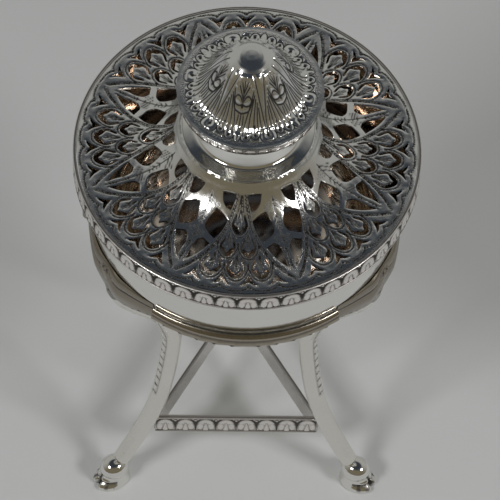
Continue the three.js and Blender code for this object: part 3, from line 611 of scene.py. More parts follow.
def cover_mesh():
    """Eight sectors of chased upper side, plain underside and the cut walls between them"""
    upper, upper_faces, openings, rim = plan_mesh(True)
    lower, lower_faces, *_ = plan_mesh(False)
    engraved = engraved_lines()

    def lifted(plan, under):
        z = np.array([cover_height(r) for r in np.hypot(plan[:, 0], plan[:, 1])]) + RIM
        return z - COVER_THICKNESS if under else z

    def carved(plan):
        gap = segment_distance(plan, engraved)
        # The groove share both sinks the engraved lines and darkens them: dirt, and painted shade of the
        # bright-cut lines
        groove = np.clip((GROOVE + GROOVE_FADE - gap) / GROOVE_FADE, 0, 1)
        edge = np.clip(1 - segment_distance(plan, openings) / CHAMFER, 0, 1)
        return lifted(plan, False) - groove * GROOVE_DEPTH - edge ** 1.5 * EDGE_DROP, groove

    parts = []
    height, groove = carved(upper)
    parts.append((upper, height, upper_faces, groove))
    parts.append((lower, lifted(lower, True), lower_faces[:, ::-1], np.zeros(len(lower))))
    for line in [outline[::-1] for outline in openings] + rim:
        line = np.array(line)
        top, cut = carved(line)
        plan = np.vstack([line, line])
        walls = []
        for j in range(len(line) - 1):
            walls += [(j, j + len(line), j + 1), (j + 1, j + len(line), j + 1 + len(line))]
        parts.append((plan, np.concatenate([top, lifted(line, True)]), np.array(walls),
                      np.concatenate([cut, np.full(len(line), WALL_TARNISH_AND_SHADE)])))
    coords, faces, tarnish_and_shade = [], [], []
    for k in range(round(360 / SECTOR)):
        turn = (LEAF_TURN + k * SECTOR) * DEG
        c, s = cos(turn), sin(turn)
        for plan, z, triangles, dirt_and_shade in parts:
            start = sum(len(block) for block in coords)
            x, y = plan[:, 0] * c - plan[:, 1] * s, plan[:, 0] * s + plan[:, 1] * c
            wave = np.array([
                sum(height * noise.noise(Vector((a, b, level)) * scale) for height, scale, level in DENTS)
                for a, b in np.round(np.stack([x, y], 1), 3)
            ])
            calm = np.clip((COVER_OUTER - np.hypot(x, y)) / 2, 0, 1)
            coords.append(np.stack([x, y, z + wave * calm], 1))
            faces.append(triangles + start)
            tarnish_and_shade.append(dirt_and_shade)
    return np.vstack(coords), np.vstack(faces).tolist(), np.concatenate(tarnish_and_shade)


new_piece("pierced_cover_chased", cover_mesh(), CHASED, ["pierced_cover"], "cover",
          sharp=35, gilt=lambda face: face.normal.z < -0.5)


# Bowl

def bowl_line(offset):
    """Section of the bowl, moved out by an offset"""
    steps = 30
    line = [(0.01, BOWL_SHOULDER - BOWL_ROUND - offset)]
    wide = wall_radius(BOWL_SHOULDER) - BOWL_FLAT
    for i in range(steps + 1):
        turn = 90 * i / steps * DEG
        line.append((BOWL_FLAT + (wide + offset) * sin(turn),
                     BOWL_SHOULDER - (BOWL_ROUND + offset) * cos(turn)))
    line.append((BOWL_OUTER + offset, BOWL_RIM))
    return line


def is_inner(face):
    """Whether a face of the bowl is on its inside"""
    centre = face.center / MM
    out = Vector((centre.x, centre.y, min(0, centre.z - BOWL_SHOULDER)))
    return face.normal.dot(out) < 0 and centre.z < BOWL_RIM - 0.01


new_piece("bowl_raised", lathe(bowl_line(0) + bowl_line(-BOWL_WALL)[::-1], 160), POLISHED,
          ["bowl"], "stand", sharp=35, gilt=is_inner)


# Gallery strips

def shell_height(u, v, width, height):
    """Relief of one fan: a half dome with a dart in the middle and a lobe at each side"""
    x, y = abs(u) / (width / 2), v / height
    if y < 0 or y > 1 or x > 1:
        return 0.0
    dome = 1 - x ** 2.2 - (max(0, y - 0.12) / 0.88) ** 2.0
    if dome <= 0:
        return 0.0
    value = min(1, dome * 3.2) ** 0.6
    dart = 0.30 * (1 - y / 0.72)
    groove = abs(x - dart - 0.05) / 0.085 if y < 0.72 else 9
    lobe = abs(hypot((x - 0.56) / 0.34, (y - 0.30) / 0.36) - 1) / 0.24
    cut = max(exp(-groove ** 2), 0.85 * exp(-lobe ** 2) if y < 0.62 else 0)
    return value * (1 - 0.85 * cut)


# Beads above the meeting of two fans: distance from it, share of the height, and size
STRIP_BEADS = [(0, 0.78, 0.42), (0.75, 0.84, 0.26)]
STRIP_DEPTH = 0.38
STRIP_ROWS = 30


def strip_relief(u, v, pitch, fan_height, height, border):
    """Relief of a strip as a share of its depth, and how dark its ground is there"""
    u = (u + pitch / 2) % pitch - pitch / 2
    low = border + 0.25
    shell = shell_height(u, v - low, pitch * 0.95, fan_height)
    edge = 0.0
    for level in (border / 2, height - border / 2):
        edge = max(edge, sqrt(max(0, 1 - ((v - level) / (border / 2)) ** 2)))
    side = pitch / 2 - abs(u)
    bead = 0.0
    for apart, level, size in STRIP_BEADS:
        gap = hypot(side - apart, v - level * height) / size
        bead = max(bead, sqrt(max(0, 1 - gap * gap)) * 0.8)
    value = max(shell, edge, bead)
    # The ground between fans and lobes is darkened with tarnish and painted shade; the lower border gets at
    # least half of it, a painted shadow under the strip
    ground = 1 - min(1, value * 1.9)
    return value, max(ground, 0.5 if v < border else 0)


def ring_strip(columns, rows, inner, bottom, height, foot, surface):
    """Ring with relief outside: surface gives radius and darkening for tarnish and painted shade at a
    column and height, and foot is that darkening at its lower edge"""
    coords, tarnish_and_shade = [], []
    for i in range(columns):
        turn = 360 * i / columns
        coords.append((*polar(turn, inner), bottom))
        tarnish_and_shade.append(foot)
        for j in range(rows + 1):
            v = height * j / rows
            radius, dirt_and_shade = surface(i, v)
            coords.append((*polar(turn, radius), bottom + v))
            tarnish_and_shade.append(dirt_and_shade)
        coords.append((*polar(turn, inner), bottom + height))
        tarnish_and_shade.append(0)
    return coords, loop_faces(columns, rows + 3, wrap_rows=True), tarnish_and_shade


FAN_COUNT = 50
FAN_COLUMNS = 26
FAN_HEIGHT = 4.9
FAN_BORDER = 0.7


def bowl_strip_surface(column, v):
    pitch = 2 * pi * STRIP_RADIUS / FAN_COUNT
    along = (column / FAN_COLUMNS + 0.5) * pitch
    value, ground = strip_relief(along, v, pitch, FAN_HEIGHT, STRIP_HEIGHT, FAN_BORDER)
    # Darker ground: tarnish and painted shade
    return STRIP_RADIUS - 0.03 + STRIP_DEPTH * value, min(1, 1.15 * ground)


fans = ring_strip(FAN_COUNT * FAN_COLUMNS, STRIP_ROWS, STRIP_RADIUS - STRIP_THICKNESS, RIM - STRIP_HEIGHT,
                  STRIP_HEIGHT, 0.5, bowl_strip_surface)
new_piece("bowl_strip_shells", fans, GALLERY, ["bowl_gallery_strip"], "stand")

# Number of each leg and its direction
LEG_STEP = 120
LEG_TURNS = {1: 210, 2: 330, 3: 450}
BAR_TOP = 24.9
BAR_HEIGHT = 8.2
BAR_THICKNESS = 0.9
BAR_CORNER = 29.3
BAR_FANS = 8
BAR_FAN_HEIGHT = 5.9
BAR_BORDER = 0.8
# What stays plain at each end of a bar, and how far its mesh stops short of the corner
BAR_END = 0.3


def stretcher_bar(number, leg_turn):
    half = BAR_CORNER * sin(60 * DEG) - BAR_END
    front = BAR_CORNER * cos(60 * DEG)
    mitre = BAR_THICKNESS * sqrt(3)
    bottom = BAR_TOP - BAR_HEIGHT
    pitch = 2 * half / BAR_FANS
    rows, columns = STRIP_ROWS, BAR_FANS * 24 + 10
    coords, tarnish_and_shade = [], []

    def place(along, depth, z, dirt_and_shade):
        coords.append(turned(leg_turn + LEG_STEP / 2, depth, along, z))
        tarnish_and_shade.append(dirt_and_shade)

    for i in range(columns + 1):
        share = 2 * i / columns - 1
        along = share * half
        near = share * (half - mitre)
        relief = clamp((half - abs(along)) / BAR_END)
        # Back edges and the ground between the fans are darkened: tarnish and painted shade
        place(near, front - BAR_THICKNESS, bottom, 0.2)
        for j in range(rows + 1):
            v = BAR_HEIGHT * j / rows
            value, ground = strip_relief(along + pitch / 2, v, pitch, BAR_FAN_HEIGHT, BAR_HEIGHT,
                                         BAR_BORDER)
            place(along, front + relief * STRIP_DEPTH * value, bottom + v, 0.95 * ground * relief)
        place(near, front - BAR_THICKNESS, BAR_TOP, 0.2)
    shape = coords, tube_faces(columns + 1, rows + 3, flip=True), tarnish_and_shade
    new_piece(f"stretcher_strip_{number}", shape, GALLERY, [f"stretcher_bar_{number}"],
              "stand")


for number, turn in LEG_TURNS.items():
    stretcher_bar(number, turn)


# Neck and the strip under the cap

# Outside of the neck above its bottom, as radius and height, and its inside
NECK_LINE = [(19.3, 0, 1), (19.3, 0.22), (19.12, 0.36), (18.8, 0.42), (17.4, 0.78), (16.2, 1.1),
             (15.6, 1.36), (15.25, 1.72), (14.95, 2.3), (14.4, 3.6), (13.75, 5.3), (13.3, 7.0),
             (13.05, 9.0), (13.0, 12.0), (13.3, 15.5), (14.2, 18.7, 1)]
NECK_WITHIN = [(13.3, NECK_TOP), (12.1, NECK_TOP - 5.6), (12.1, 172.7), (13.0, 169.6), (14.1, 166.7),
               (15.0, 165.0)]

neck_outside = smooth_line([(r, NECK_BOTTOM + z, *corner) for r, z, *corner in NECK_LINE])
stem = lathe([(COVER_INNER, NECK_BOTTOM)] + neck_outside + NECK_WITHIN, 200)
new_piece("neck_turned", stem, POLISHED, ["neck_collar"], "cover")

EGG_RING = 20.5
EGG_RING_INNER = 19.8
EGG_HEIGHT = 2.5
EGG_TOP = CAP_RIM - 1.1
EGG_COUNT = 36
EGG_COLUMNS = 16
EGG_LEVEL = 1.2
EGG_RELIEF = 0.24


def cap_strip_surface(column, v):
    """Eggs with darts between them, under a fine line"""
    pitch = 2 * pi * EGG_RING / EGG_COUNT
    u = ((column / EGG_COLUMNS + 0.5) % 1 - 0.5) * pitch
    egg = sqrt(max(0, 1 - (u / (0.40 * pitch)) ** 2 - ((v - EGG_LEVEL) / 0.95) ** 2))
    dart = max(0, 1 - abs(abs(u) - pitch / 2) / 0.3) * max(0, 1 - abs(v - EGG_LEVEL) / 1.1)
    line = sqrt(max(0, 1 - ((v - EGG_HEIGHT + 0.15) / 0.15) ** 2))
    value = max(egg, 0.6 * dart, line)
    # Ground between the eggs and darts is darkened: tarnish and painted shade
    return EGG_RING + EGG_RELIEF * value, 0.9 * (1 - min(1, 2 * value))


eggs = ring_strip(EGG_COUNT * EGG_COLUMNS, 16, EGG_RING_INNER, EGG_TOP - EGG_HEIGHT, EGG_HEIGHT, 0.4,
                  cap_strip_surface)
new_piece("cap_strip_eggs", eggs, GALLERY, ["cap_gallery_strip"], "cover")


# Cap

CAP_RIB_TURN = 227
CAP_PERIOD = 60

# Height of the cap above its rim, as radius and height
CAP_LINE = [(0, 16.2), (2, 16.12), (3.4, 15.95), (4.6, 15.5), (5.6, 14.85), (6.8, 13.85), (7.9, 12.6),
            (9.0, 10.9), (10, 9.2), (11, 7.4), (12, 5.6), (13, 3.9), (13.8, 2.6), (14.9, 1.3),
            (16, 0.55), (17, 0.2), (18.4, 0.05), (19.8, 0)]

# Chased lines of half a panel of the cap, as angle from a rib and radius: the rib's strand
# and its round end, the leaf's edge, its fingers, and the small leaf between two ribs
CAP_LINES = [
    [(11, 6.2), (9, 7.5), (6.4, 9), (4.4, 10.5), (2.6, 12), (1.5, 13.5), (0.9, 15)],
    [(7.4, 16.2), (8.0, 17.3), (6.8, 18.5), (3.4, 19.2), (0, 19.4)],
    [(7.6, 16.3), (9.4, 17.2), (12.6, 17.8), (15.6, 17.4), (16.6, 16.6)],
    [(16.6, 16.6), (18.4, 18.0), (22.2, 18.8), (25.6, 18.2), (26.6, 17.2)],
    [(26.6, 17.2), (27.8, 18.6), (30, 19.5)],
    [(0, 15.9), (0, 17.3)],
    [(6.6, 11.6), (6.0, 13.2), (5.6, 15.0)],
    [(8.2, 10.8), (9.2, 13.0), (9.4, 15.4)],
    [(10.4, 10.2), (12.8, 12.6), (13.6, 14.4), (13.4, 16.0)],
    [(11.8, 9.6), (16.4, 11.8), (18.8, 13.6), (19.6, 15.8)],
    [(13.0, 9.0), (19.0, 11.4), (23.4, 13.8), (25.0, 16.4)],
    [(14.4, 10.2), (19.4, 11.8), (25.0, 12.3), (30, 12.5)],
    [(29.2, 10.7), (25.0, 9.9), (20.2, 9.8), (17.0, 10.4), (19.6, 11.1), (25.0, 11.3), (29.2, 11.1)],
    [(29.4, 10.2), (26.0, 9.3), (20.6, 8.3)],
    [(29.6, 9.3), (26.4, 8.3), (23.8, 7.5)],
    [(30, 7.2), (30, 10.4)],
    [(30, 12.6), (30, 14.6)],
    [(26.8, 12.8), (26.4, 14.4)],
]
# Drilled dots of half a panel: place and size
CAP_EYES = [((0, 16.8), 0.3), ((12.4, 16.6), 0.28), ((21.6, 17.2), 0.3), ((13.2, 14.6), 0.22),
            ((30, 11.3), 0.25)]
CAP_CUT = 0.24
CAP_RELIEF = 0.32
CAP_SOFTNESS = 0.6
CAP_CROWN = 5.6
CAP_GROUND = 18.6
CAP_BORDER = 20.3
CAP_THICKNESS = 1.4
CAP_EDGE = 0.8
CAP_TOP = CAP_RIM + CAP_RISE


def cap_bell(r):
    return float(np.interp(r, *zip(*CAP_LINE)))


def cap_shape():
    rings, columns = 190, 900
    start = CAP_RIB_TURN - CAP_PERIOD / 2
    radii = [CAP_RADIUS * (i / rings) ** 0.9 for i in range(1, rings + 1)]
    bell = [cap_bell(r) for r in radii]
    bell = [float(np.mean(bell[max(0, i - 2):i + 3])) for i in range(rings)]
    lines = []
    for line in CAP_LINES:
        for sign in (1, -1):
            fine = smooth_line([(sign * a, r) for a, r in line])
            lines.append([polar(a, r) for a, r in fine])
    panel = columns * CAP_PERIOD // 360
    turns = [360 * j / columns for j in range(columns)]
    grid = np.array([polar(turn - CAP_PERIOD / 2, r) for r in radii for turn in turns[:panel]])
    gap = segment_distance(grid, lines)
    for (a, r), size in CAP_EYES:
        for sign in (1, -1):
            centre = np.array(polar(sign * a, r))
            gap = np.minimum(gap, np.maximum(0, np.hypot(*(grid - centre).T) - size))
    gap = gap.reshape(rings, panel)
    coords, tarnish_and_shade = [(0, 0, CAP_TOP)], [0]
    for i, r in enumerate(radii):
        fade = clamp(r - CAP_CROWN) * clamp((CAP_BORDER - r) / 0.8)
        for j, turn in enumerate(turns):
            d = gap[i][j % panel]
            relief = CAP_RELIEF * (1 - exp(-(d / CAP_SOFTNESS) ** 2))
            # Chased lines and drilled eyes are darkened with tarnish and painted shade in the cuts; on the
            # matted ground the stipple pits are darker
            dirt_and_shade = clamp((CAP_CUT - d) / 0.12)
            if r > CAP_GROUND:
                grain = noise.noise(Vector((*polar(turn, r * 3.4), 0)))
                relief = 0.05 + 0.05 * grain
                dirt_and_shade = 0.9 * max(0, -grain) + 0.8 * max(0, 1 - d / CAP_CUT)
            z = min(CAP_RIM + bell[i] + fade * relief, CAP_TOP)
            coords.append((*polar(start + turn, r), z))
            tarnish_and_shade.append(min(1, dirt_and_shade) * min(1, fade * 2))
    bottom = CAP_RIM - CAP_EDGE
    under = [(CAP_RADIUS, CAP_RIM - CAP_EDGE / 2), (CAP_RADIUS - 0.15, bottom), (13.3, bottom)]
    under += [(r, CAP_RIM + cap_bell(r) - CAP_THICKNESS) for r in (11.6, 10, 8, 6, 4, 2)]
    for r, z in under:
        coords += [(*polar(start + turn, r), z) for turn in turns]
    coords.append((0, 0, CAP_TOP - CAP_THICKNESS))
    tarnish_and_shade += [0] * (len(coords) - len(tarnish_and_shade))
    return coords, ball_faces(rings + len(under), columns), tarnish_and_shade


new_piece("cap_chased", cap_shape(), CHASED, ["cap_dome"], "cover", sharp=60)


# Garlands

GARLAND_TOP = RIM - 26.6
MASK_HALF = 24.5
MASK_MIDDLE = RIM - 33.6
MASK_HEIGHT = 15.6
SEAT = wall_radius(GARLAND_TOP) + 0.3
GARLAND_HEIGHT = 6.2
GARLAND_DEPTH = 2.1
GARLAND_LEAVES = 11
# Angle left free between a mask and the end of a garland
GARLAND_GAP = 0.5


def garland(number, leg_turn):
    start = leg_turn + MASK_HALF + GARLAND_GAP
    span = LEG_STEP - 2 * (MASK_HALF + GARLAND_GAP)
    columns, rows = 260, 34
    coords, tarnish_and_shade = [], []
    for i in range(columns + 1):
        share = i / columns
        full = 0.84 + 0.16 * sin(pi * share)
        height, depth = GARLAND_HEIGHT * full, GARLAND_DEPTH * full
        along = min(share, 1 - share) * GARLAND_LEAVES
        for j in range(rows + 1):
            s = j / rows
            arch = sin(pi * s)
            fold = 0.2 * cos(s * 21) * arch * (1 - max(0, s - 0.55) * 2)
            tip = (along + 0.9 * abs(s - 0.5)) % 1
            leaf = 0.16 * (1 - tip) * clamp((s - 0.52) * 6)
            out = arch ** 0.75 * (0.86 + fold * 0.5) + leaf
            radius = SEAT + (0.02 if j in (0, rows) else depth * out)
            z = GARLAND_TOP - height / 2 + cos(pi * s) * 0.5 * height
            coords.append((*polar(start + span * share, radius), z))
            # Painted shadow under the undercut leaf tips and painted shade in the troughs of the folds,
            # over an even darkening of the whole garland
            gap = clamp((tip - 0.74) * 5) * clamp((s - 0.6) * 6)
            tarnish_and_shade.append(min(1, 0.22 + gap + 2.4 * max(0, -fold)))
    shape = coords, tube_faces(columns + 1, rows + 1, flip=True), tarnish_and_shade
    new_piece(f"garland_laurel_{number}", shape, CAST, [f"garland_{number}"], "stand",
              sharp=60)


# Masks

def bowl_radius(z):
    """Outside of the bowl at a height"""
    if z >= BOWL_SHOULDER:
        return wall_radius(z)
    down = min(1, (BOWL_SHOULDER - z) / BOWL_ROUND)
    return BOWL_FLAT + (wall_radius(BOWL_SHOULDER) - BOWL_FLAT) * sqrt(1 - down * down)


# Section of a horn as shares of its half height and depth, from its upper to its lower edge
HORN_SECTION = [(1, 0), (0.9, 0.55), (0.74, 0.82), (0.56, 0.8), (0.44, 0.58), (0.3, 0.74), (0.1, 1),
                (-0.15, 0.97), (-0.4, 0.72), (-0.72, 0.3), (-1, -0.4)]
# Stations of a horn: share of the mask's half angle, half height, depth and lift
HORN_STATIONS = [(0, 0.50, 0.40, 0), (0.28, 0.46, 0.58, 0), (0.5, 0.40, 0.42, 0.10),
                 (0.72, 0.31, 0.24, 0.20), (1, 0.22, 0.07, 0.30)]
HORN_DEPTH = 2.6
HORN_GROOVE = 0.44
# Points across the back of a horn
HORN_BACK = 8
# Face: height from its middle as a share of the mask's, then half width and depth
FACE_LEVELS = [(-0.50, 0.36, 0.20), (-0.46, 0.56, 0.52), (-0.36, 0.60, 0.72), (-0.2, 0.60, 0.76),
               (-0.10, 0.68, 0.78), (0.06, 0.90, 0.90), (0.25, 1, 1), (0.40, 0.84, 0.80),
               (0.50, 0.40, 0.34)]
FACE_WIDTH = 10.4
FACE_DEPTH = 3.0
FACE_COLUMNS = 72
BOWL_CLEARANCE = 0.08


def on_bowl(x, y, z):
    """The place itself, or the nearest one straight out from it that clears the bowl"""
    least = bowl_radius(z) + BOWL_CLEARANCE
    if hypot(x, y) < least and x > 0:
        x = sqrt(max(0, least * least - y * y))
    return x, y, z


def face_relief(y, up):
    """Modelling of a ram's face across and above its middle, in mm, and its darkening: painted shade with
    tarnish in eyes, nostrils, mouth, cheeks and curls
    """
    side = abs(y)
    eye = bump(side, 2.5, 0.75) * bump(up, 2.0, 0.6)
    lid = bump(side, 2.4, 1.3) * bump(up, 3.0, 0.45)
    nostril = bump(side, 0.95, 0.45) * bump(up, -5.4, 0.4)
    mouth = bump(up, 0.12 * side - 6.5, 0.25) * (side < 2.6)
    cheek = bump(side, 1.5, 0.3) * (-4.6 < up < 1)
    curls = 0.25 * sin(side * 4.2 + 1.3 * sin(up * 2.4)) * clamp(up - 4.2)
    height = 0.35 * lid - 0.55 * eye - 0.4 * nostril - 0.35 * mouth - 0.2 * cheek + curls
    return height, min(1, eye + nostril + 0.8 * mouth + 0.4 * cheek + max(0, -3 * curls))


def ram_mask(number, leg_turn):
    coords, tarnish_and_shade = [], []

    def place(x, y, z, dirt_and_shade):
        coords.append(turned(leg_turn, x, y, z))
        tarnish_and_shade.append(dirt_and_shade)

    stations = [(-t, *rest) for t, *rest in HORN_STATIONS[:0:-1]] + HORN_STATIONS
    values = [smooth_line([(st[0], st[k]) for st in stations], 9) for k in (1, 2, 3)]
    section = smooth_line(HORN_SECTION, 5)
    for (share, half), (_, deep), (_, lift) in zip(*values):
        middle = MASK_MIDDLE + lift * MASK_HEIGHT
        for up, out in section:
            # Leaf tips along the lower edge
            tip = (abs(share) * 7) % 1
            notch = max(0, 1 - abs(up + 0.86) / 0.16) * max(0, 1 - tip / 0.3) * (abs(share) > 0.22)
            radius = SEAT + (out * deep - 0.25 * notch) * HORN_DEPTH
            z = middle + (up + 0.06 * notch) * half * MASK_HEIGHT
            # Dark between the leaf tips and in the horn's groove: painted shade with tarnish, over an even
            # darkening of the horn
            groove = bump(up, HORN_GROOVE, 0.07)
            dirt_and_shade = min(1, 0.42 + notch * 1.4 + 0.6 * groove)
            place(*on_bowl(*polar(share * MASK_HALF, radius), z), dirt_and_shade)
        for i in range(1, HORN_BACK):
            z = middle + (-1 + 2 * i / HORN_BACK) * half * MASK_HEIGHT
            place(*polar(share * MASK_HALF, bowl_radius(z) + BOWL_CLEARANCE), z, 0)
    faces = tube_faces(len(values[0]), len(section) + HORN_BACK - 1)
    start = len(coords)
    wide = smooth_line([(up, w) for up, w, _ in FACE_LEVELS], 8)
    deep = smooth_line([(up, d) for up, _, d in FACE_LEVELS], 8)
    for (up, w), (_, d) in zip(wide, deep):
        for j in range(FACE_COLUMNS):
            angle = 2 * pi * j / FACE_COLUMNS
            y = 0.5 * FACE_WIDTH * w * sin(angle)
            # Face darkened evenly and in its eyes, nostrils, mouth and cheeks: painted shade with tarnish
            relief, dirt_and_shade = face_relief(y, up * MASK_HEIGHT) if cos(angle) > 0.1 else (0, 0)
            x = SEAT - 1.5 + (FACE_DEPTH * d + relief) * cos(angle)
            place(*on_bowl(x, y, MASK_MIDDLE + up * MASK_HEIGHT), min(1, 0.4 + dirt_and_shade))
    faces += tube_faces(len(wide), FACE_COLUMNS, start=start)
    new_piece(f"mask_of_ram_{number}", (coords, faces, tarnish_and_shade), CAST,
              [f"ram_mask_{number}"], "stand", sharp=60)


# Legs

LEG_TOP = (42.5, 110.4)
KNEE = (23.7, 66.0)
ANKLE = (40.7, 9.7)
THIGH_BENDS = [(0, 0), (0.14, 0.12), (0.35, 0.44), (0.56, 0.77), (0.77, 0.94), (1, 1)]
SHIN_BENDS = [(0.47, 0.20), (0.75, 0.53), (1, 1)]
LEG_WIDTHS = [(0, 7.4), (0.45, 5.8), (0.72, 5.5), (1, 5.0)]
# Chain of husks down the front of a leg, and the squareness of the leg's section
HUSK_HIGH = 98.0
HUSK_LOW = 39.0
HUSK_PITCH = 3.6
HUSK_RELIEF = 0.55
LEG_SQUARENESS = 2.5
LEG_COLUMNS = 64


def between(start, end, bends):
    """Points of a bend given as shares of the way down and out"""
    return [(start[0] + (end[0] - start[0]) * o, start[1] + (end[1] - start[1]) * d) for d, o in bends]


def leg_rows(steps):
    """Places along a leg as radius, height and share of its length"""
    points = between(LEG_TOP, KNEE, THIGH_BENDS) + between(KNEE, ANKLE, SHIN_BENDS)
    line = np.array(smooth_line(points, 24))
    length = np.concatenate([[0], np.cumsum(np.hypot(*np.diff(line, axis=0).T))])
    share = np.linspace(0, 1, steps)
    at = share * length[-1]
    return np.stack([np.interp(at, length, line[:, 0]), np.interp(at, length, line[:, 1]), share], 1)


def husk(across, z):
    """Relief of the chain across the front of a leg, and its darkening: tarnish and painted shade at the
    husks' joins and edges
    """
    place = (HUSK_HIGH - z) / HUSK_PITCH - 0.28 * (across / 1.3) ** 2
    wide = 1.45 - 0.5 * (HUSK_HIGH - z) / (HUSK_HIGH - HUSK_LOW)
    part = place % 1
    body = max(0, 1 - (abs(across) / wide) ** 4)
    ends = min(1, HUSK_HIGH - z, z - HUSK_LOW)
    swell = 0.35 + 0.65 * sin(pi * min(1, part * 1.15)) ** 0.6
    edge = clamp(2 - abs(part - 0.9) / 0.1) * body
    border = bump(abs(across), wide, 0.2)
    return HUSK_RELIEF * body * ends * swell, ends * min(1, 0.9 * edge + 0.45 * border)


def leg(number, leg_turn):
    rows = leg_rows(230)
    shares, widths = zip(*LEG_WIDTHS)
    coords, tarnish_and_shade = [], []
    for i, (r, z, share) in enumerate(rows):
        before, after = rows[max(0, i - 1)], rows[min(len(rows) - 1, i + 1)]
        along = Vector((after[0] - before[0], after[1] - before[1])).normalized()
        width = float(np.interp(share, shares, widths))
        for j in range(LEG_COLUMNS):
            angle = 2 * pi * j / LEG_COLUMNS
            ca, sa = cos(angle), sin(angle)
            # Broad flat faces with soft edges between them
            size = (abs(ca) ** LEG_SQUARENESS + abs(sa) ** LEG_SQUARENESS) ** (-1 / LEG_SQUARENESS)
            across = 0.5 * width * size * sa
            depth = 0.46 * width * size * ca
            relief, dirt_and_shade = husk(across, z) if ca > 0 and HUSK_LOW < z < HUSK_HIGH else (0, 0)
            depth += relief
            seat = on_bowl(r - along.y * depth, across, z + along.x * depth)
            coords.append(turned(leg_turn, *seat))
            tarnish_and_shade.append(dirt_and_shade)
    shape = coords, tube_faces(len(rows), LEG_COLUMNS), tarnish_and_shade
    new_piece(f"leg_with_husks_{number}", shape, CAST_PLAIN, [f"leg_{number}"], "stand",
              sharp=60)


# Hooves

HOOF_TIP = 50.4
HOOF_LENGTH = 12.2
HOOF_WIDTH = 9.4
HOOF_HEIGHT = 6.4
# Hoof from the floor up: share of its height, size of its plan and shift back
HOOF_LEVELS = [(0, 1, 0), (0.10, 1.0, 0), (0.22, 0.97, 0.0), (0.34, 0.88, 0.02), (0.62, 0.80, 0.05),
               (0.85, 0.62, 0.10), (1.05, 0.2, 0.15)]
# Middle and half sizes of the ball above the hoof, and how sharply it joins the hoof
FETLOCK = (43.3, 6.5)
FETLOCK_SIZE = (4.55, 4.05, 3.8)
HOOF_BLEND = 9
TOE_LENGTH = 5.6
NAIL_LEVEL = 2.9
# Rays that find the surface start here
HOOF_CENTRE = (44.2, 0.0, 2.6)
HOOF_REACH = 12.0
HOOF_COLUMNS = 120
HOOF_ROWS = 80


def toe_share(x):
    """0 behind the toes, 1 at their tips"""
    return np.clip((x - (HOOF_TIP - TOE_LENGTH)) / TOE_LENGTH, 0, 1)


def hoof_inside(x, y, z):
    """Above 0 outside the hoof and below 0 inside, for arrays of places"""
    up = z / HOOF_HEIGHT
    levels, sizes, shifts = zip(*HOOF_LEVELS)
    size = np.interp(up, levels, sizes)
    middle = HOOF_TIP - HOOF_LENGTH / 2 - HOOF_LENGTH * np.interp(up, levels, shifts)
    body = np.sqrt(((x - middle) / (HOOF_LENGTH / 2)) ** 2 + (y / (HOOF_WIDTH / 2)) ** 2) / size - 1
    body = np.maximum(body, up - 1.0)
    wide, across, tall = FETLOCK_SIZE
    ball = ((x - FETLOCK[0]) / wide) ** 2 + (y / across) ** 2 + ((z - FETLOCK[1]) / tall) ** 2
    joined = np.exp(-HOOF_BLEND * body) + np.exp(-HOOF_BLEND * (np.sqrt(ball) - 1))
    # Cleft between the toes, and a small recess behind each of them
    reach = toe_share(x)
    cleft = 0.42 * bump(y, 0, 0.25 + 0.75 * reach) * reach * np.clip((5.4 - z) / 2.5, 0, 1)
    nail = 0.16 * bump(z, NAIL_LEVEL, 0.5) * np.clip((x - FETLOCK[0]) / 3, 0, 1)
    return cleft + nail - np.log(joined) / HOOF_BLEND


def hoof(number, leg_turn):
    azimuth = np.linspace(0, 2 * pi, HOOF_COLUMNS, endpoint=False)
    lift = np.linspace(-90, 90, HOOF_ROWS + 2)[1:-1] * DEG
    lift, azimuth = np.meshgrid(lift, azimuth, indexing="ij")
    way = np.stack([np.cos(lift) * np.cos(azimuth), np.cos(lift) * np.sin(azimuth), np.sin(lift)])
    near, far = np.zeros_like(lift), np.full_like(lift, HOOF_REACH)

    def along_rays(distance):
        return [HOOF_CENTRE[k] + way[k] * distance for k in range(3)]

    for _ in range(26):
        half = (near + far) / 2
        x, y, z = along_rays(half)
        out = (hoof_inside(x, y, z) > 0) | (z < 0)
        far = np.where(out, half, far)
        near = np.where(out, near, half)
    x, y, z = along_rays(near)
    # Darkening of the cleft and the recess behind the toes, painted shade with tarnish, and dark spots low
    # on the front of the hoof
    cleft = bump(y, 0, 0.55) * (toe_share(x) > 0.1) * (z < 5.2)
    nail = 0.9 * bump(z, NAIL_LEVEL, 0.45) * (x > FETLOCK[0] + 1)
    spots = bump(z, 1.9, 0.8) * (np.sin(azimuth * 11) > 0.35) * (x > FETLOCK[0] + 2.5)
    dirt_and_shade = np.clip(cleft + nail + 0.8 * spots, 0, 1)
    top = HOOF_CENTRE[2] + float(near[-1].mean())
    places = [(HOOF_CENTRE[0], 0, 0), *zip(x.ravel(), y.ravel(), z.ravel()), (HOOF_CENTRE[0], 0, top)]
    coords = [turned(leg_turn, a, b, max(0, h)) for a, b, h in places]
    shape = coords, ball_faces(HOOF_ROWS, HOOF_COLUMNS), [0, *dirt_and_shade.ravel().tolist(), 0]
    new_piece(f"hoof_cloven_{number}", shape, POLISHED, [f"hoof_{number}"], "stand")


for make in (garland, ram_mask, leg, hoof):
    for number, turn in LEG_TURNS.items():
        make(number, turn)


# Gilt for the bezel, which has no finer piece
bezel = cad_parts["cover_bezel"].data
bezel.materials.clear()
bezel.materials.append(GILT)


# Lamps, room and floor

LAMPS = {"lamp_left": (-0.559, -0.448, 0.697), "lamp_right": (0.653, -0.40, 0.644)}
LAMP_DISTANCE = 1.2
LAMP_SIZE = (0.30, 0.22)
LAMP_POWER = 4.2
LAMP_TARGET = Vector((0, 0, 0.1))
FRONT_COLOR = (0.16, 0.14, 0.095, 1)
WALL_COLOR = (0.36, 0.36, 0.34, 1)
CEILING_COLOR = (0.036, 0.043, 0.053, 1)
BACKDROP_COLOR = (0.42, 0.42, 0.43, 1)
FLOOR_COLOR = (0.70, 0.71, 0.72, 1)
FLOOR_HALF = 4


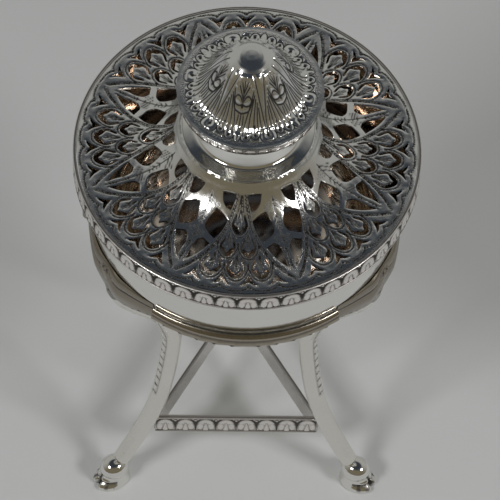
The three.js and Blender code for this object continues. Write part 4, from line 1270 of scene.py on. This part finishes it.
def area_light(name, toward):
    data = bpy.data.lights.new(name, "AREA")
    data.shape = "RECTANGLE"
    data.size, data.size_y = LAMP_SIZE
    data.energy = LAMP_POWER
    light = put_in_scene(name, data)
    place = toward.normalized() * LAMP_DISTANCE + LAMP_TARGET
    turn = toward.to_track_quat("Z", "Y").to_matrix().to_4x4()
    light.matrix_world = Matrix.Translation(place) @ turn


for name, toward in LAMPS.items():
    area_light(name, Vector(toward))


def make_world():
    """Room: dark above, pale at the back and sides, olive-brown towards the front"""
    world = bpy.data.worlds.new("room")
    bpy.context.scene.world = world
    world.use_nodes = True
    tree = world.node_tree
    place = add(tree, "ShaderNodeTexCoord")
    split = add(tree, "ShaderNodeSeparateXYZ")
    join(place, "Generated", split, 0)
    front = add(tree, "ShaderNodeMapRange", in_From_Min=-0.55, in_From_Max=0.3)
    join(split, "Y", front, "Value")
    wall = add(tree, "ShaderNodeMix", data_type="RGBA", in_A=FRONT_COLOR, in_B=WALL_COLOR)
    join(front, "Result", wall, "Factor")
    high = add(tree, "ShaderNodeMapRange", in_From_Min=0.72, in_From_Max=0.86)
    join(split, "Z", high, "Value")
    room = add(tree, "ShaderNodeMix", data_type="RGBA", in_B=CEILING_COLOR)
    join(high, "Result", room, "Factor")
    join(wall, "Result", room, "A")
    path = add(tree, "ShaderNodeLightPath")
    shown = add(tree, "ShaderNodeMix", data_type="RGBA", in_B=BACKDROP_COLOR)
    join(path, "Is Camera Ray", shown, "Factor")
    join(room, "Result", shown, "A")
    join(shown, "Result", tree.nodes["Background"], "Color")


make_world()


def make_floor():
    mesh = bpy.data.meshes.new("floor")
    corners = [(x * FLOOR_HALF, y * FLOOR_HALF, 0) for x, y in ((-1, -1), (1, -1), (1, 1), (-1, 1))]
    mesh.from_pydata(corners, [], [(0, 1, 2, 3)])
    floor = put_in_scene("floor", mesh)
    paper = bpy.data.materials.new("paper")
    paper.use_nodes = True
    shader = paper.node_tree.nodes["Principled BSDF"]
    shader.inputs["Base Color"].default_value = FLOOR_COLOR
    shader.inputs["Roughness"].default_value = 0.8
    mesh.materials.append(paper)


make_floor()
